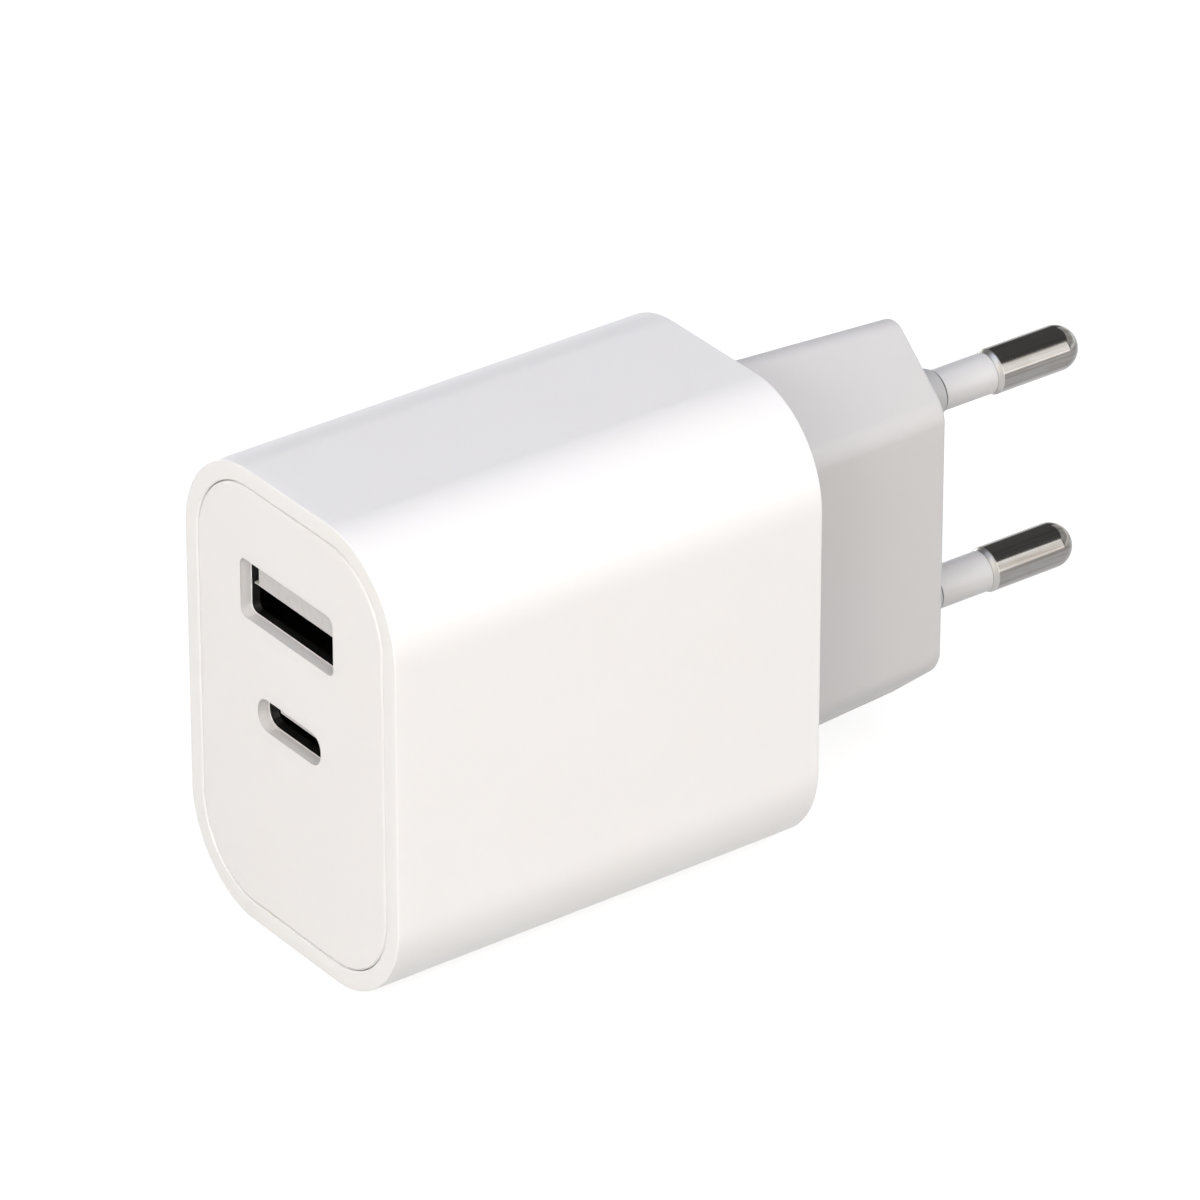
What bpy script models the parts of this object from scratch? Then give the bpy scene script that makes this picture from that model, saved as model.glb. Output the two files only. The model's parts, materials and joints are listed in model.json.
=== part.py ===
"""USB wall charger: a moulded housing with a USB-A port over a USB-C port and a fixed two-pin plug.

Metres, +Z up. The ports face -Y and the pins point along +Y. The origin is the centre of the
plug nose's flat end, halfway between the two pins.
"""

import math

import bmesh
import bpy
from mathutils import Vector

for old in list(bpy.data.objects):
    bpy.data.objects.remove(old, do_unlink=True)
CHARGER = bpy.data.objects.new("usb_wall_charger", None)
bpy.context.scene.collection.objects.link(CHARGER)

# ---- Clearances ---------------------------------------------------------------------------------
SEAM = 0.00015  # open line between two moulded shells
SEAT = 0.00030  # under a piece that stands on another
FIT = 0.00004  # round a piece held in its own hole
OVERRUN = 0.0010  # how far a cutting shape runs past the face it opens

# ---- Housing ------------------------------------------------------------------------------------
BODY_WIDTH = 0.0292
BODY_HEIGHT = 0.0422
BODY_DEPTH = 0.0423
BODY_CORNER = 0.0090
BODY_EDGE = 0.00015
SEAM_EDGE = 0.00035
BODY_WALL = 0.0017
REAR_WALL = 0.0018
GUIDE_LIP = 0.0007
GUIDE_GRIP = 0.0006
GUIDE_WALL = 0.0010

# ---- Face plate ---------------------------------------------------------------------------------
PLATE_THICKNESS = 0.0011
SKIRT_DEPTH = 0.0050
SKIRT_WALL = 0.0010
POST_RADIUS = 0.0012
POST_SIDE_INSET = 0.0045
POST_END_INSET = 0.0046
POST_STEPS = 12

# ---- USB-A port ---------------------------------------------------------------------------------
PORT_A_X = -0.00036
PORT_A_Z = 0.0100
PORT_A_WIDTH = 0.01305
PORT_A_HEIGHT = 0.00552
PORT_A_CORNER = 0.0008
SHELL_A_WIDTH = 0.01250
SHELL_A_HEIGHT = 0.00512
SHELL_A_CORNER = 0.0006
TONGUE_A_WIDTH = 0.0111
TONGUE_A_THICKNESS = 0.00184
TONGUE_A_LIFT = 0.00080
TONGUE_A_CORNER = 0.00030
CONTACT_A_WIDTH = 0.0010
CONTACT_A_THICKNESS = 0.0002
CONTACT_A_DROP = 0.00020
CONTACT_A_BOW = 0.00050
CONTACT_A_START = 0.0014
CONTACT_A_STEP = 0.0010
CONTACT_A_RUN = 0.0015
CONTACT_A_OFFSETS = (-0.0035, -0.0010, 0.0010, 0.0035)
SPRING_WIDTH = 0.0020
SPRING_LENGTH = 0.0050
SPRING_SLOT = 0.00035
SPRING_SPACING = 0.0060
SPRING_START = 0.0022

# ---- USB-C port ---------------------------------------------------------------------------------
PORT_C_X = -0.00026
PORT_C_Z = -0.0006
PORT_C_WIDTH = 0.00893
PORT_C_HEIGHT = 0.00315
PORT_C_CORNER = 0.00145
SHELL_C_WIDTH = 0.00834
SHELL_C_HEIGHT = 0.00256
SHELL_C_CORNER = 0.00127
TONGUE_C_WIDTH = 0.00669
TONGUE_C_THICKNESS = 0.00070
TONGUE_C_CORNER = 0.00020
CONTACT_C_WIDTH = 0.00030
CONTACT_C_THICKNESS = 0.00012
CONTACT_C_START = 0.0008
CONTACT_C_OFFSETS = (-0.00240, 0.0, 0.00240)

# ---- Both receptacles ---------------------------------------------------------------------------
SHELL_WALL = 0.00030
SHELL_LIP = 0.00030
SHELL_LIP_DEPTH = 0.00050
RECEPTACLE_DEPTH = 0.0134
TONGUE_SET_BACK = PLATE_THICKNESS + 2 * FIT
INSULATOR_BASE = 0.0030
SOLDER_TAB_WIDTH = 0.0018
SOLDER_TAIL = 0.0006

# ---- Plug nose ----------------------------------------------------------------------------------
NOSE_DEPTH = 0.0189
NOSE_BASE_HALF_WIDTH = 0.0080
NOSE_BASE_APEX = 0.0193
NOSE_BASE_SHOULDER = 0.0125
NOSE_END_HALF_WIDTH = 0.0070
NOSE_END_APEX = 0.0180
NOSE_END_SHOULDER = 0.0121
NOSE_APEX_ROUND = 0.0008
NOSE_SHOULDER_ROUND = 0.0027
NOSE_EDGE = 0.0007
NOSE_WALL = 0.0020
NOSE_END_WALL = 0.0020
NOSE_SPIGOT_STEP = 0.0009
BOSS_RADIUS = 0.0030
BOSS_LENGTH = 0.0020
COLLAR_RADIUS = 0.00215
COLLAR_LENGTH = 0.00415
COLLAR_CHAMFER = 0.00085
COLLAR_LIP = 0.00006

# ---- Pins ---------------------------------------------------------------------------------------
PIN_SPACING = 0.0190
PIN_RADIUS = 0.0020
PIN_LENGTH = 0.0190
PIN_CORE_RADIUS = 0.0014
PIN_HEAD_RADIUS = 0.0023
PIN_HEAD_LENGTH = 0.0014
SLEEVE_RADIUS = 0.0018
PIN_SHOULDER = 0.0004
PIN_DOME_STEPS = 6
SLEEVE_LENGTH = 0.00955
LEAF_THICKNESS = 0.0004
LEAF_WIDTH = 0.0028
LEAF_REACH = 0.0018
LEAF_X = -0.0045
LEAF_FOOT = 0.0013

# ---- Boards -------------------------------------------------------------------------------------
BOARD_THICKNESS = 0.0012
BOARD_EDGE_GAP = 0.0005
BOARD_SIDE_GAP = 0.0010
BOARD_CORNER = 0.0010
BOARD_TAB = 0.0030
BOARD_TAB_Z = 0.0080
PORT_BOARD_MARGIN = 0.0019
INPUT_BOARD_REACH = 0.0068
INPUT_BOARD_HALF_HEIGHT = 0.0135

# ---- Transformer and capacitors -----------------------------------------------------------------
CORE_WIDTH = 0.0180
CORE_HEIGHT = 0.0175
CORE_BACK = 0.0031
CORE_SIDE_WALL = 0.0014
CORE_LEG_SHOULDER = 0.0012
CORE_SIDE_OPENING = 0.0110
CORE_EDGE = 0.0004
CORE_Z = -0.0045
BOBBIN_WALL = 0.0006
BOBBIN_FLANGE = 0.0008
WINDING_BUILD = 0.0023
WINDING_ROUND = 0.0004
BULK_LENGTH = 0.0175
OUTPUT_RADIUS = 0.00315
OUTPUT_LENGTH = 0.0088
OUTPUT_X = 0.0042
OUTPUT_Z = -0.0096
CAN_EDGE = 0.0004
CAN_GROOVE = 0.00030
CAN_GROOVE_HEIGHT = 0.0016
REAR_SPACE = 0.0027  # between the input board and the transformer
FRONT_SPACE = 0.0036  # between the port board and the transformer

# ---- Mains parts in the nose --------------------------------------------------------------------
CHOKE_INNER = 0.0018
CHOKE_OUTER = 0.0034
CHOKE_HEIGHT = 0.0030
CHOKE_WIRE = 0.0006
CHOKE_ARC = 130.0
CHOKE_X = 0.0012
CHOKE_Z = 0.0096
FUSE_RADIUS = 0.0018
FUSE_LENGTH = 0.0085
FUSE_CAP = 0.0014
FUSE_TUBE_RADIUS = 0.00162
FUSE_X = 0.0009
FUSE_Z = -0.0096
X_CAPACITOR_WIDTH = 0.0052
X_CAPACITOR_DEPTH = 0.0110
X_CAPACITOR_HEIGHT = 0.0104
X_CAPACITOR_Z = -0.0008
X_CAPACITOR_EDGE = 0.0004
Y_CAPACITOR_RADIUS = 0.0034
Y_CAPACITOR_THICKNESS = 0.0019
Y_CAPACITOR_X = 0.0028
Y_CAPACITOR_Z = -0.0070
Y_CAPACITOR_EDGE = 0.00057

# ---- Chips --------------------------------------------------------------------------------------
CHIP_EDGE = 0.00012
MAIN_CHIPS = (  # name, height off the board, length along Y, width along Z, Z
    ("controller_chip", 0.0014, 0.0040, 0.0050, 0.0090),
    ("optocoupler", 0.0021, 0.0046, 0.0066, 0.0010),
    ("primary_switch", 0.0009, 0.0060, 0.0050, -0.0080),
)
PORT_CHIP_Z = -0.0045
PORT_CHIP_MARGIN = 0.0008
PORT_CHIPS = (  # name, side of the board, height off the board, length along X, width along Z
    ("synchronous_rectifier", -1, 0.0010, 0.0050, 0.0030),
    ("port_controller_chip", 1, 0.0008, 0.0030, 0.0030),
)
BRIDGE_HEIGHT = 0.0015
BRIDGE_WIDTH = 0.0062
BRIDGE_LENGTH = 0.0048
BRIDGE_X = -0.0030
BRIDGE_Z = 0.0060

# ---- Cooling and insulation ---------------------------------------------------------------------
PAD_THICKNESS = 0.0010
PAD_MARGIN = 0.0010
SPREADER_THICKNESS = 0.0004
WRAP_THICKNESS = 0.00025
WRAP_GAP = 0.00020

# ---- Roundness ----------------------------------------------------------------------------------
BODY_STEPS = 10
CORNER_STEPS = 4
EDGE_STEPS = 2
PIN_STEPS = 28
CAN_STEPS = 20
COIL_STEPS = 24
FUSE_STEPS = 16
CHOKE_STEPS = 9

# ---- Places that follow from the sizes ----------------------------------------------------------
REAR_Y = -NOSE_DEPTH
FRONT_Y = REAR_Y - BODY_DEPTH
REAR_INNER_Y = REAR_Y - REAR_WALL
PLATE_BACK_Y = FRONT_Y + PLATE_THICKNESS
SHELL_FRONT_Y = PLATE_BACK_Y + SEAM
PORT_BOARD_Y = SHELL_FRONT_Y + RECEPTACLE_DEPTH
SHELL_DEPTH = RECEPTACLE_DEPTH - FIT
INPUT_BOARD_Y = REAR_INNER_Y - SEAT - BOARD_THICKNESS
INPUT_BOARD_BACK_Y = INPUT_BOARD_Y + BOARD_THICKNESS
CLUSTER_REAR_Y = INPUT_BOARD_Y - REAR_SPACE
CORE_DEPTH = CLUSTER_REAR_Y - PORT_BOARD_Y - BOARD_THICKNESS - FRONT_SPACE
CORE_Y = CLUSTER_REAR_Y - CORE_DEPTH / 2
CORE_WINDOW_RADIUS = CORE_DEPTH / 2 - CORE_SIDE_WALL
WINDING_OUTER = CORE_WINDOW_RADIUS - SEAT - SEAM
WINDING_INNER = WINDING_OUTER - WINDING_BUILD
BOBBIN_TUBE_RADIUS = WINDING_INNER - 2 * FIT
BOBBIN_BORE_RADIUS = BOBBIN_TUBE_RADIUS - BOBBIN_WALL
CORE_LEG_RADIUS = BOBBIN_BORE_RADIUS - SEAM
BULK_RADIUS = (CORE_DEPTH - SEAT) / 4
CAVITY_HALF_WIDTH = BODY_WIDTH / 2 - BODY_WALL
POST_X = CAVITY_HALF_WIDTH - POST_SIDE_INSET
POST_Z = BODY_HEIGHT / 2 - BODY_WALL - POST_END_INSET
PORT_BOARD_RIGHT_X = CAVITY_HALF_WIDTH - PORT_BOARD_MARGIN
MAIN_BOARD_X = -CAVITY_HALF_WIDTH + BOARD_SIDE_GAP
MAIN_FACE_X = MAIN_BOARD_X + BOARD_THICKNESS
MAIN_SEAT_X = MAIN_FACE_X + SEAT
BOARD_LEFT_X = MAIN_FACE_X + GUIDE_LIP + SEAT
MAIN_FRONT_Y = FRONT_Y + SKIRT_DEPTH + BOARD_EDGE_GAP + SEAT
CORE_X = MAIN_SEAT_X + CORE_HEIGHT / 2
BULK_Z = CORE_Z + CORE_WIDTH / 2 + SEAT + BULK_RADIUS
PIN_HEAD_Y = -NOSE_END_WALL - BOSS_LENGTH - SEAT
PIN_INNER_Y = PIN_HEAD_Y - PIN_HEAD_LENGTH
CLUSTER_TOP_X = MAIN_SEAT_X + max(CORE_HEIGHT, BULK_LENGTH)
CLUSTER_TOP_Z = BULK_Z + BULK_RADIUS
CLUSTER_BOTTOM_Z = CORE_Z - CORE_WIDTH / 2


# ---- Materials ----------------------------------------------------------------------------------
def material(name, colour, roughness, metallic=0.0):
    made = bpy.data.materials.new(name)
    made.use_nodes = True
    shader = made.node_tree.nodes["Principled BSDF"]
    shader.inputs["Base Color"].default_value = (*colour, 1.0)
    shader.inputs["Roughness"].default_value = roughness
    shader.inputs["Metallic"].default_value = metallic
    made.diffuse_color = (*colour, 1.0)
    return made


# ---- Outlines -----------------------------------------------------------------------------------
def rectangle(width, height):
    """Corners anticlockwise from the lower right."""
    x = width / 2
    z = height / 2
    return [(x, -z), (x, z), (-x, z), (-x, -z)]


def rounded(corners, radius, inset=0.0, steps=CORNER_STEPS, least=0.00002):
    """The corners rounded by arcs and the whole outline moved inwards by inset.

    radius is one value, or one for each corner.
    """
    radii = radius if isinstance(radius, (list, tuple)) else [radius] * len(corners)
    points = []
    for index, corner in enumerate(corners):
        here = Vector(corner)
        before = (here - Vector(corners[index - 1])).normalized()
        after = (Vector(corners[(index + 1) % len(corners)]) - here).normalized()
        normal_before = Vector((before.y, -before.x))
        normal_after = Vector((after.y, -after.x))
        arc = max(radii[index] - inset, least)
        spread = (normal_before + normal_after) / (1 + normal_before.dot(normal_after))
        centre = here - spread * (inset + arc)
        start = math.atan2(normal_before.y, normal_before.x)
        turn = (math.atan2(normal_after.y, normal_after.x) - start) % (2 * math.pi)
        for step in range(steps + 1):
            angle = start + turn * step / steps
            points.append((centre.x + arc * math.cos(angle), centre.y + arc * math.sin(angle)))
    return points


def body_outline(inset=0.0):
    return rounded(rectangle(BODY_WIDTH, BODY_HEIGHT), BODY_CORNER, inset, BODY_STEPS)


def hollow_half_span(distance, size_away, size_along):
    """Half the span of the housing's rounded hollow, measured at a distance from its middle."""
    straight = size_away / 2 - BODY_CORNER
    if abs(distance) <= straight:
        return size_along / 2 - BODY_WALL
    rise = (BODY_CORNER - BODY_WALL) ** 2 - (abs(distance) - straight) ** 2
    return size_along / 2 - BODY_CORNER + math.sqrt(max(rise, 0.0))


def cavity_half_height(x):
    return hollow_half_span(x, BODY_WIDTH, BODY_HEIGHT)


def cavity_half_width(z):
    return hollow_half_span(z, BODY_HEIGHT, BODY_WIDTH)


def nose_outline(y, inset=0.0):
    """The nose's long hexagon, which narrows evenly from the housing to the nose's end."""
    share = (y - REAR_Y) / NOSE_DEPTH

    def between(base, end):
        return base + (end - base) * share

    x = between(NOSE_BASE_HALF_WIDTH, NOSE_END_HALF_WIDTH)
    apex = between(NOSE_BASE_APEX, NOSE_END_APEX)
    shoulder = between(NOSE_BASE_SHOULDER, NOSE_END_SHOULDER)
    corners = [(x, -shoulder), (x, shoulder), (0.0, apex), (-x, shoulder), (-x, -shoulder), (0.0, -apex)]
    side = NOSE_SHOULDER_ROUND
    tip = NOSE_APEX_ROUND
    return rounded(corners, [side, side, tip, side, side, tip], inset)


def strip_outline(path, thickness):
    """The outline of a bent strip whose middle follows the path, with mitred bends."""
    left = []
    right = []
    last = len(path) - 1
    for index, point in enumerate(path):
        here = Vector(point)
        before = (here - Vector(path[max(index - 1, 0)])).normalized()
        after = (Vector(path[min(index + 1, last)]) - here).normalized()
        if index == 0:
            before = after
        if index == last:
            after = before
        normal_before = Vector((before.y, -before.x))
        normal_after = Vector((after.y, -after.x))
        mitre = (normal_before + normal_after) / (1 + normal_before.dot(normal_after))
        left.append(tuple(here + mitre * thickness / 2))
        right.append(tuple(here - mitre * thickness / 2))
    return left + right[::-1]


# ---- Rings: an outline laid across one axis -----------------------------------------------------
def across_x(outline, x):
    return [(x, y, z) for y, z in outline]


def across_y(outline, y):
    return [(x, y, z) for x, z in outline]


def across_z(outline, z):
    return [(x, y, z) for x, y in outline]


# ---- Solids -------------------------------------------------------------------------------------
def finish_mesh(name, mesh, location, rotation, surface):
    """A named object under the charger's empty, with round stretches shaded smooth."""
    body = bpy.data.objects.new(name, mesh)
    bpy.context.scene.collection.objects.link(body)
    body.parent = CHARGER
    body.location = location
    body.rotation_euler = rotation
    if surface is not None:
        mesh.materials.append(surface)
    mesh.shade_smooth()
    mesh.set_sharp_from_angle(angle=math.radians(30))
    return body


def loft(name, rings, surface=None, location=(0, 0, 0), rotation=(0, 0, 0), closed=False):
    """Rings of equal length joined side by side; a closed loft joins its last ring to its first."""
    bm = bmesh.new()
    laid = [[bm.verts.new(point) for point in ring] for ring in rings]
    pairs = list(zip(laid, laid[1:]))
    if closed:
        pairs.append((laid[-1], laid[0]))
    else:
        bm.faces.new(laid[0])
        bm.faces.new(laid[-1])
    for near, far in pairs:
        for index, vert in enumerate(near):
            following = (index + 1) % len(near)
            bm.faces.new((vert, near[following], far[following], far[index]))
    bmesh.ops.recalc_face_normals(bm, faces=bm.faces)
    mesh = bpy.data.meshes.new(name)
    bm.to_mesh(mesh)
    bm.free()
    return finish_mesh(name, mesh, location, rotation, surface)


def turned(name, profile, steps, surface=None, location=(0, 0, 0), rotation=(0, 0, 0), ring=False):
    """A profile of (radius, height) turned about the object's own Z."""
    bm = bmesh.new()
    verts = [bm.verts.new((radius, 0.0, height)) for radius, height in profile]
    edges = [bm.edges.new(pair) for pair in zip(verts, verts[1:])]
    if ring:
        edges.append(bm.edges.new((verts[-1], verts[0])))
    bmesh.ops.spin(
        bm,
        geom=verts + edges,
        cent=(0, 0, 0),
        axis=(0, 0, 1),
        angle=2 * math.pi,
        steps=steps,
        use_merge=True,
    )
    bmesh.ops.remove_doubles(bm, verts=bm.verts, dist=1e-7)
    bmesh.ops.recalc_face_normals(bm, faces=bm.faces)
    mesh = bpy.data.meshes.new(name)
    bm.to_mesh(mesh)
    bm.free()
    return finish_mesh(name, mesh, location, rotation, surface)


def block(name, low, high, surface=None, edge=0.0):
    """A box between two corners, with its edges chamfered by edge."""
    size = Vector(high) - Vector(low)
    bm = bmesh.new()
    bmesh.ops.create_cube(bm, size=1.0)
    bmesh.ops.scale(bm, vec=size, verts=bm.verts)
    if edge > 0.0:
        bmesh.ops.bevel(
            bm, geom=bm.edges[:], offset=edge, offset_type="OFFSET", segments=1, profile=0.5, affect="EDGES"
        )
    bmesh.ops.recalc_face_normals(bm, faces=bm.faces)
    mesh = bpy.data.meshes.new(name)
    bm.to_mesh(mesh)
    bm.free()
    return finish_mesh(name, mesh, (Vector(low) + Vector(high)) / 2, (0, 0, 0), surface)


def combine(target, tool, operation):
    """Cut the tool from the target, or add it, and leave the tool as a guide only."""
    tool.hide_render = True
    tool.display_type = "WIRE"
    modifier = target.modifiers.new(f"{operation.title()} {tool.name}", "BOOLEAN")
    modifier.operation = operation
    modifier.solver = "EXACT"
    modifier.object = tool


def cut(target, tool):
    combine(target, tool, "DIFFERENCE")


def add(target, tool):
    combine(target, tool, "UNION")


TOWARDS_PINS = (-math.pi / 2, 0, 0)  # turns an object's own Z to world +Y
TOWARDS_RIGHT = (0, math.pi / 2, 0)  # turns an object's own Z to world +X


# ---- Housing and face plate ---------------------------------------------------------------------
def edge_rings(outline_at, face_y, inwards, radius):
    """Rings round a rounded edge, from the face to the side; inwards is +1 or -1 along Y."""
    rings = []
    for step in range(EDGE_STEPS + 1):
        angle = math.pi / 2 * step / EDGE_STEPS
        y = face_y + inwards * radius * (1 - math.cos(angle))
        rings.append(across_y(outline_at(radius * (1 - math.sin(angle))), y))
    return rings


def main_board_half_height():
    return cavity_half_height(MAIN_BOARD_X) - BOARD_EDGE_GAP


def make_housing(surface):
    rings = [across_y(body_outline(BODY_WALL), REAR_INNER_Y)]
    rings += edge_rings(lambda inset: body_outline(BODY_WALL - inset), FRONT_Y, 1, SEAM_EDGE)[::-1]
    rings += edge_rings(body_outline, FRONT_Y, 1, BODY_EDGE)
    rings += edge_rings(body_outline, REAR_Y, -1, BODY_EDGE)[::-1]
    housing = loft("housing_shell", rings, surface)

    window = nose_outline(REAR_Y, NOSE_SPIGOT_STEP - SEAM)
    far = REAR_Y + OVERRUN
    cut(housing, loft("nose_window", [across_y(window, REAR_INNER_Y - OVERRUN), across_y(window, far)]))

    half = main_board_half_height()
    for side, word in ((1, "upper"), (-1, "lower")):
        inner = side * (half - GUIDE_GRIP)
        outer = side * (half + GUIDE_WALL)
        low = (-cavity_half_width(outer) - BODY_WALL / 2, MAIN_FRONT_Y, min(inner, outer))
        high = (MAIN_FACE_X + GUIDE_LIP, REAR_INNER_Y + REAR_WALL / 2, max(inner, outer))
        add(housing, block(f"{word}_board_guide", low, high))
    slot_low = (MAIN_BOARD_X - SEAM, MAIN_FRONT_Y - OVERRUN, -half - SEAM)
    slot_high = (MAIN_FACE_X + SEAM, REAR_INNER_Y, half + SEAM)
    cut(housing, block("board_slot", slot_low, slot_high))
    return housing


def port_outline(x, z, width, height, corner, inset=0.0):
    return [(x + u, z + v) for u, v in rounded(rectangle(width, height), corner, inset)]


def make_face_plate(surface):
    inset = BODY_WALL + SEAM
    skirt_y = FRONT_Y + SKIRT_DEPTH
    rings = [
        across_y(body_outline(inset + SKIRT_WALL), PLATE_BACK_Y),
        across_y(body_outline(inset + SKIRT_WALL), skirt_y),
        across_y(body_outline(inset), skirt_y),
    ]
    rings += edge_rings(lambda edge: body_outline(inset + edge), FRONT_Y, 1, SEAM_EDGE)[::-1]
    plate = loft("face_plate", rings, surface)
    length = PORT_BOARD_Y - SEAT - PLATE_BACK_Y + PLATE_THICKNESS / 2
    for x in (-POST_X, POST_X):
        for z in (-POST_Z, POST_Z):
            profile = [(0, 0), (POST_RADIUS, 0), (POST_RADIUS, length), (0, length)]
            at = (x, PLATE_BACK_Y - PLATE_THICKNESS / 2, z)
            add(plate, turned("plate_post", profile, POST_STEPS, location=at, rotation=TOWARDS_PINS))
    openings = (
        (PORT_A_X, PORT_A_Z, PORT_A_WIDTH, PORT_A_HEIGHT, PORT_A_CORNER),
        (PORT_C_X, PORT_C_Z, PORT_C_WIDTH, PORT_C_HEIGHT, PORT_C_CORNER),
    )
    for opening in openings:
        outline = port_outline(*opening)
        ends = (FRONT_Y - OVERRUN, PLATE_BACK_Y + OVERRUN)
        cut(plate, loft("port_opening", [across_y(outline, y) for y in ends]))
    return plate


# ---- Plug nose and pins -------------------------------------------------------------------------
def make_nose(surface):
    spigot = NOSE_SPIGOT_STEP
    base_y = REAR_Y + SEAM
    rings = [
        across_y(nose_outline(-NOSE_END_WALL, NOSE_WALL), -NOSE_END_WALL),
        across_y(nose_outline(REAR_Y, NOSE_WALL), REAR_Y),
        across_y(nose_outline(REAR_Y, NOSE_WALL), REAR_INNER_Y),
        across_y(nose_outline(REAR_Y, spigot), REAR_INNER_Y),
        across_y(nose_outline(REAR_Y, spigot), base_y),
        across_y(nose_outline(REAR_Y), base_y),
    ]
    rings += edge_rings(lambda inset: nose_outline(0.0, inset), 0.0, -1, NOSE_EDGE)[::-1]
    nose = loft("plug_nose", rings, surface)
    bore = SLEEVE_RADIUS + FIT
    start = -NOSE_END_WALL - BOSS_LENGTH
    for side in (-1, 1):
        at = (0, 0, side * PIN_SPACING / 2)
        root = -NOSE_END_WALL / 2
        boss = [(0, start), (BOSS_RADIUS, start), (BOSS_RADIUS, root), (0, root)]
        add(nose, turned("pin_boss", boss, PIN_STEPS, location=at, rotation=TOWARDS_PINS))
        collar = [
            (0, root),
            (COLLAR_RADIUS, root),
            (COLLAR_RADIUS, COLLAR_LENGTH - COLLAR_CHAMFER),
            (bore + COLLAR_LIP, COLLAR_LENGTH),
            (0, COLLAR_LENGTH),
        ]
        add(nose, turned("pin_collar", collar, PIN_STEPS, location=at, rotation=TOWARDS_PINS))
    for side in (-1, 1):
        at = (0, 0, side * PIN_SPACING / 2)
        ends = (start - OVERRUN, COLLAR_LENGTH + OVERRUN)
        hole = [(0, ends[0]), (bore, ends[0]), (bore, ends[1]), (0, ends[1])]
        cut(nose, turned("pin_bore", hole, PIN_STEPS, location=at, rotation=TOWARDS_PINS))
    return nose


def make_pin(name, side, surface):
    """A solid pin: a head behind the nose wall, a slim core, a coned shoulder and a round tip."""
    profile = [
        (0, PIN_INNER_Y),
        (PIN_HEAD_RADIUS, PIN_INNER_Y),
        (PIN_HEAD_RADIUS, PIN_HEAD_Y),
        (PIN_CORE_RADIUS, PIN_HEAD_Y),
        (PIN_CORE_RADIUS, SLEEVE_LENGTH + FIT),
        (SLEEVE_RADIUS, SLEEVE_LENGTH + FIT),
        (PIN_RADIUS, SLEEVE_LENGTH + FIT + PIN_SHOULDER),
    ]
    for step in range(PIN_DOME_STEPS):
        angle = math.pi / 2 * step / PIN_DOME_STEPS
        height = PIN_LENGTH - PIN_RADIUS + PIN_RADIUS * math.sin(angle)
        profile.append((PIN_RADIUS * math.cos(angle), height))
    profile.append((0, PIN_LENGTH))
    at = (0, 0, side * PIN_SPACING / 2)
    return turned(name, profile, PIN_STEPS, surface, at, TOWARDS_PINS)


def make_pin_sleeve(name, side, surface):
    inner = PIN_CORE_RADIUS + FIT
    start = PIN_HEAD_Y + FIT
    profile = [
        (inner, start),
        (SLEEVE_RADIUS, start),
        (SLEEVE_RADIUS, SLEEVE_LENGTH),
        (inner, SLEEVE_LENGTH),
    ]
    at = (0, 0, side * PIN_SPACING / 2)
    return turned(name, profile, PIN_STEPS, surface, at, TOWARDS_PINS, ring=True)


def make_contact_leaf(name, side, surface):
    """A bent leaf from the pin's head back to the input board."""
    head_y = PIN_INNER_Y - SEAT - LEAF_THICKNESS / 2
    foot_y = INPUT_BOARD_BACK_Y + SEAT + LEAF_THICKNESS / 2
    path = [(LEAF_REACH, head_y), (LEAF_X, head_y), (LEAF_X, foot_y), (LEAF_X + LEAF_FOOT, foot_y)]
    outline = strip_outline(path, LEAF_THICKNESS)
    rings = [across_z(outline, -LEAF_WIDTH / 2), across_z(outline, LEAF_WIDTH / 2)]
    return loft(name, rings, surface, (0, 0, side * PIN_SPACING / 2))


# ---- Receptacles --------------------------------------------------------------------------------
def receptacle_shell(name, x, z, width, height, corner, surface):
    """A drawn sheet sleeve with a flared mouth and two solder tabs that pass through the board."""

    def outline(outwards):
        return rounded(rectangle(width, height), corner, -outwards)

    back = SHELL_DEPTH
    rings = [
        across_y(outline(SHELL_LIP), 0),
        across_y(outline(SHELL_LIP + SHELL_WALL), 0),
        across_y(outline(SHELL_WALL), SHELL_LIP_DEPTH),
        across_y(outline(SHELL_WALL), back),
        across_y(outline(0), back),
        across_y(outline(0), SHELL_LIP_DEPTH),
    ]
    shell = loft(name, rings, surface, (x, SHELL_FRONT_Y, z), closed=True)
    for side in (-1, 1):
        near = x + side * width / 2
        far = x + side * (width / 2 + SHELL_WALL)
        low = (min(near, far), PORT_BOARD_Y - OVERRUN, z - SOLDER_TAB_WIDTH / 2)
        high = (max(near, far), PORT_BOARD_Y + BOARD_THICKNESS + SOLDER_TAIL, z + SOLDER_TAB_WIDTH / 2)
        add(shell, block(f"{name}_tab", low, high))
    return shell


def insulator(name, x, z, shell, tongue, lift, surface):
    """A base that fills the shell's back end and a tongue that reaches almost to its mouth."""
    shell_width, shell_height, shell_corner = shell
    tongue_width, tongue_thickness, tongue_corner = tongue
    base = rounded(rectangle(shell_width, shell_height), shell_corner, FIT)
    back = PORT_BOARD_Y - FIT
    base_y = back - INSULATOR_BASE
    front = FRONT_Y + TONGUE_SET_BACK

    def tongue_ring(inset, y):
        ends = rounded(rectangle(tongue_width, tongue_thickness), tongue_corner, inset)
        return across_y([(u, v + lift) for u, v in ends], y)

    chamfer = tongue_corner / 2
    rings = [
        across_y(base, back),
        across_y(base, base_y),
        tongue_ring(0, base_y),
        tongue_ring(0, front + chamfer),
        tongue_ring(chamfer, front),
    ]
    return loft(name, rings, surface, (x, 0, z))


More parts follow.
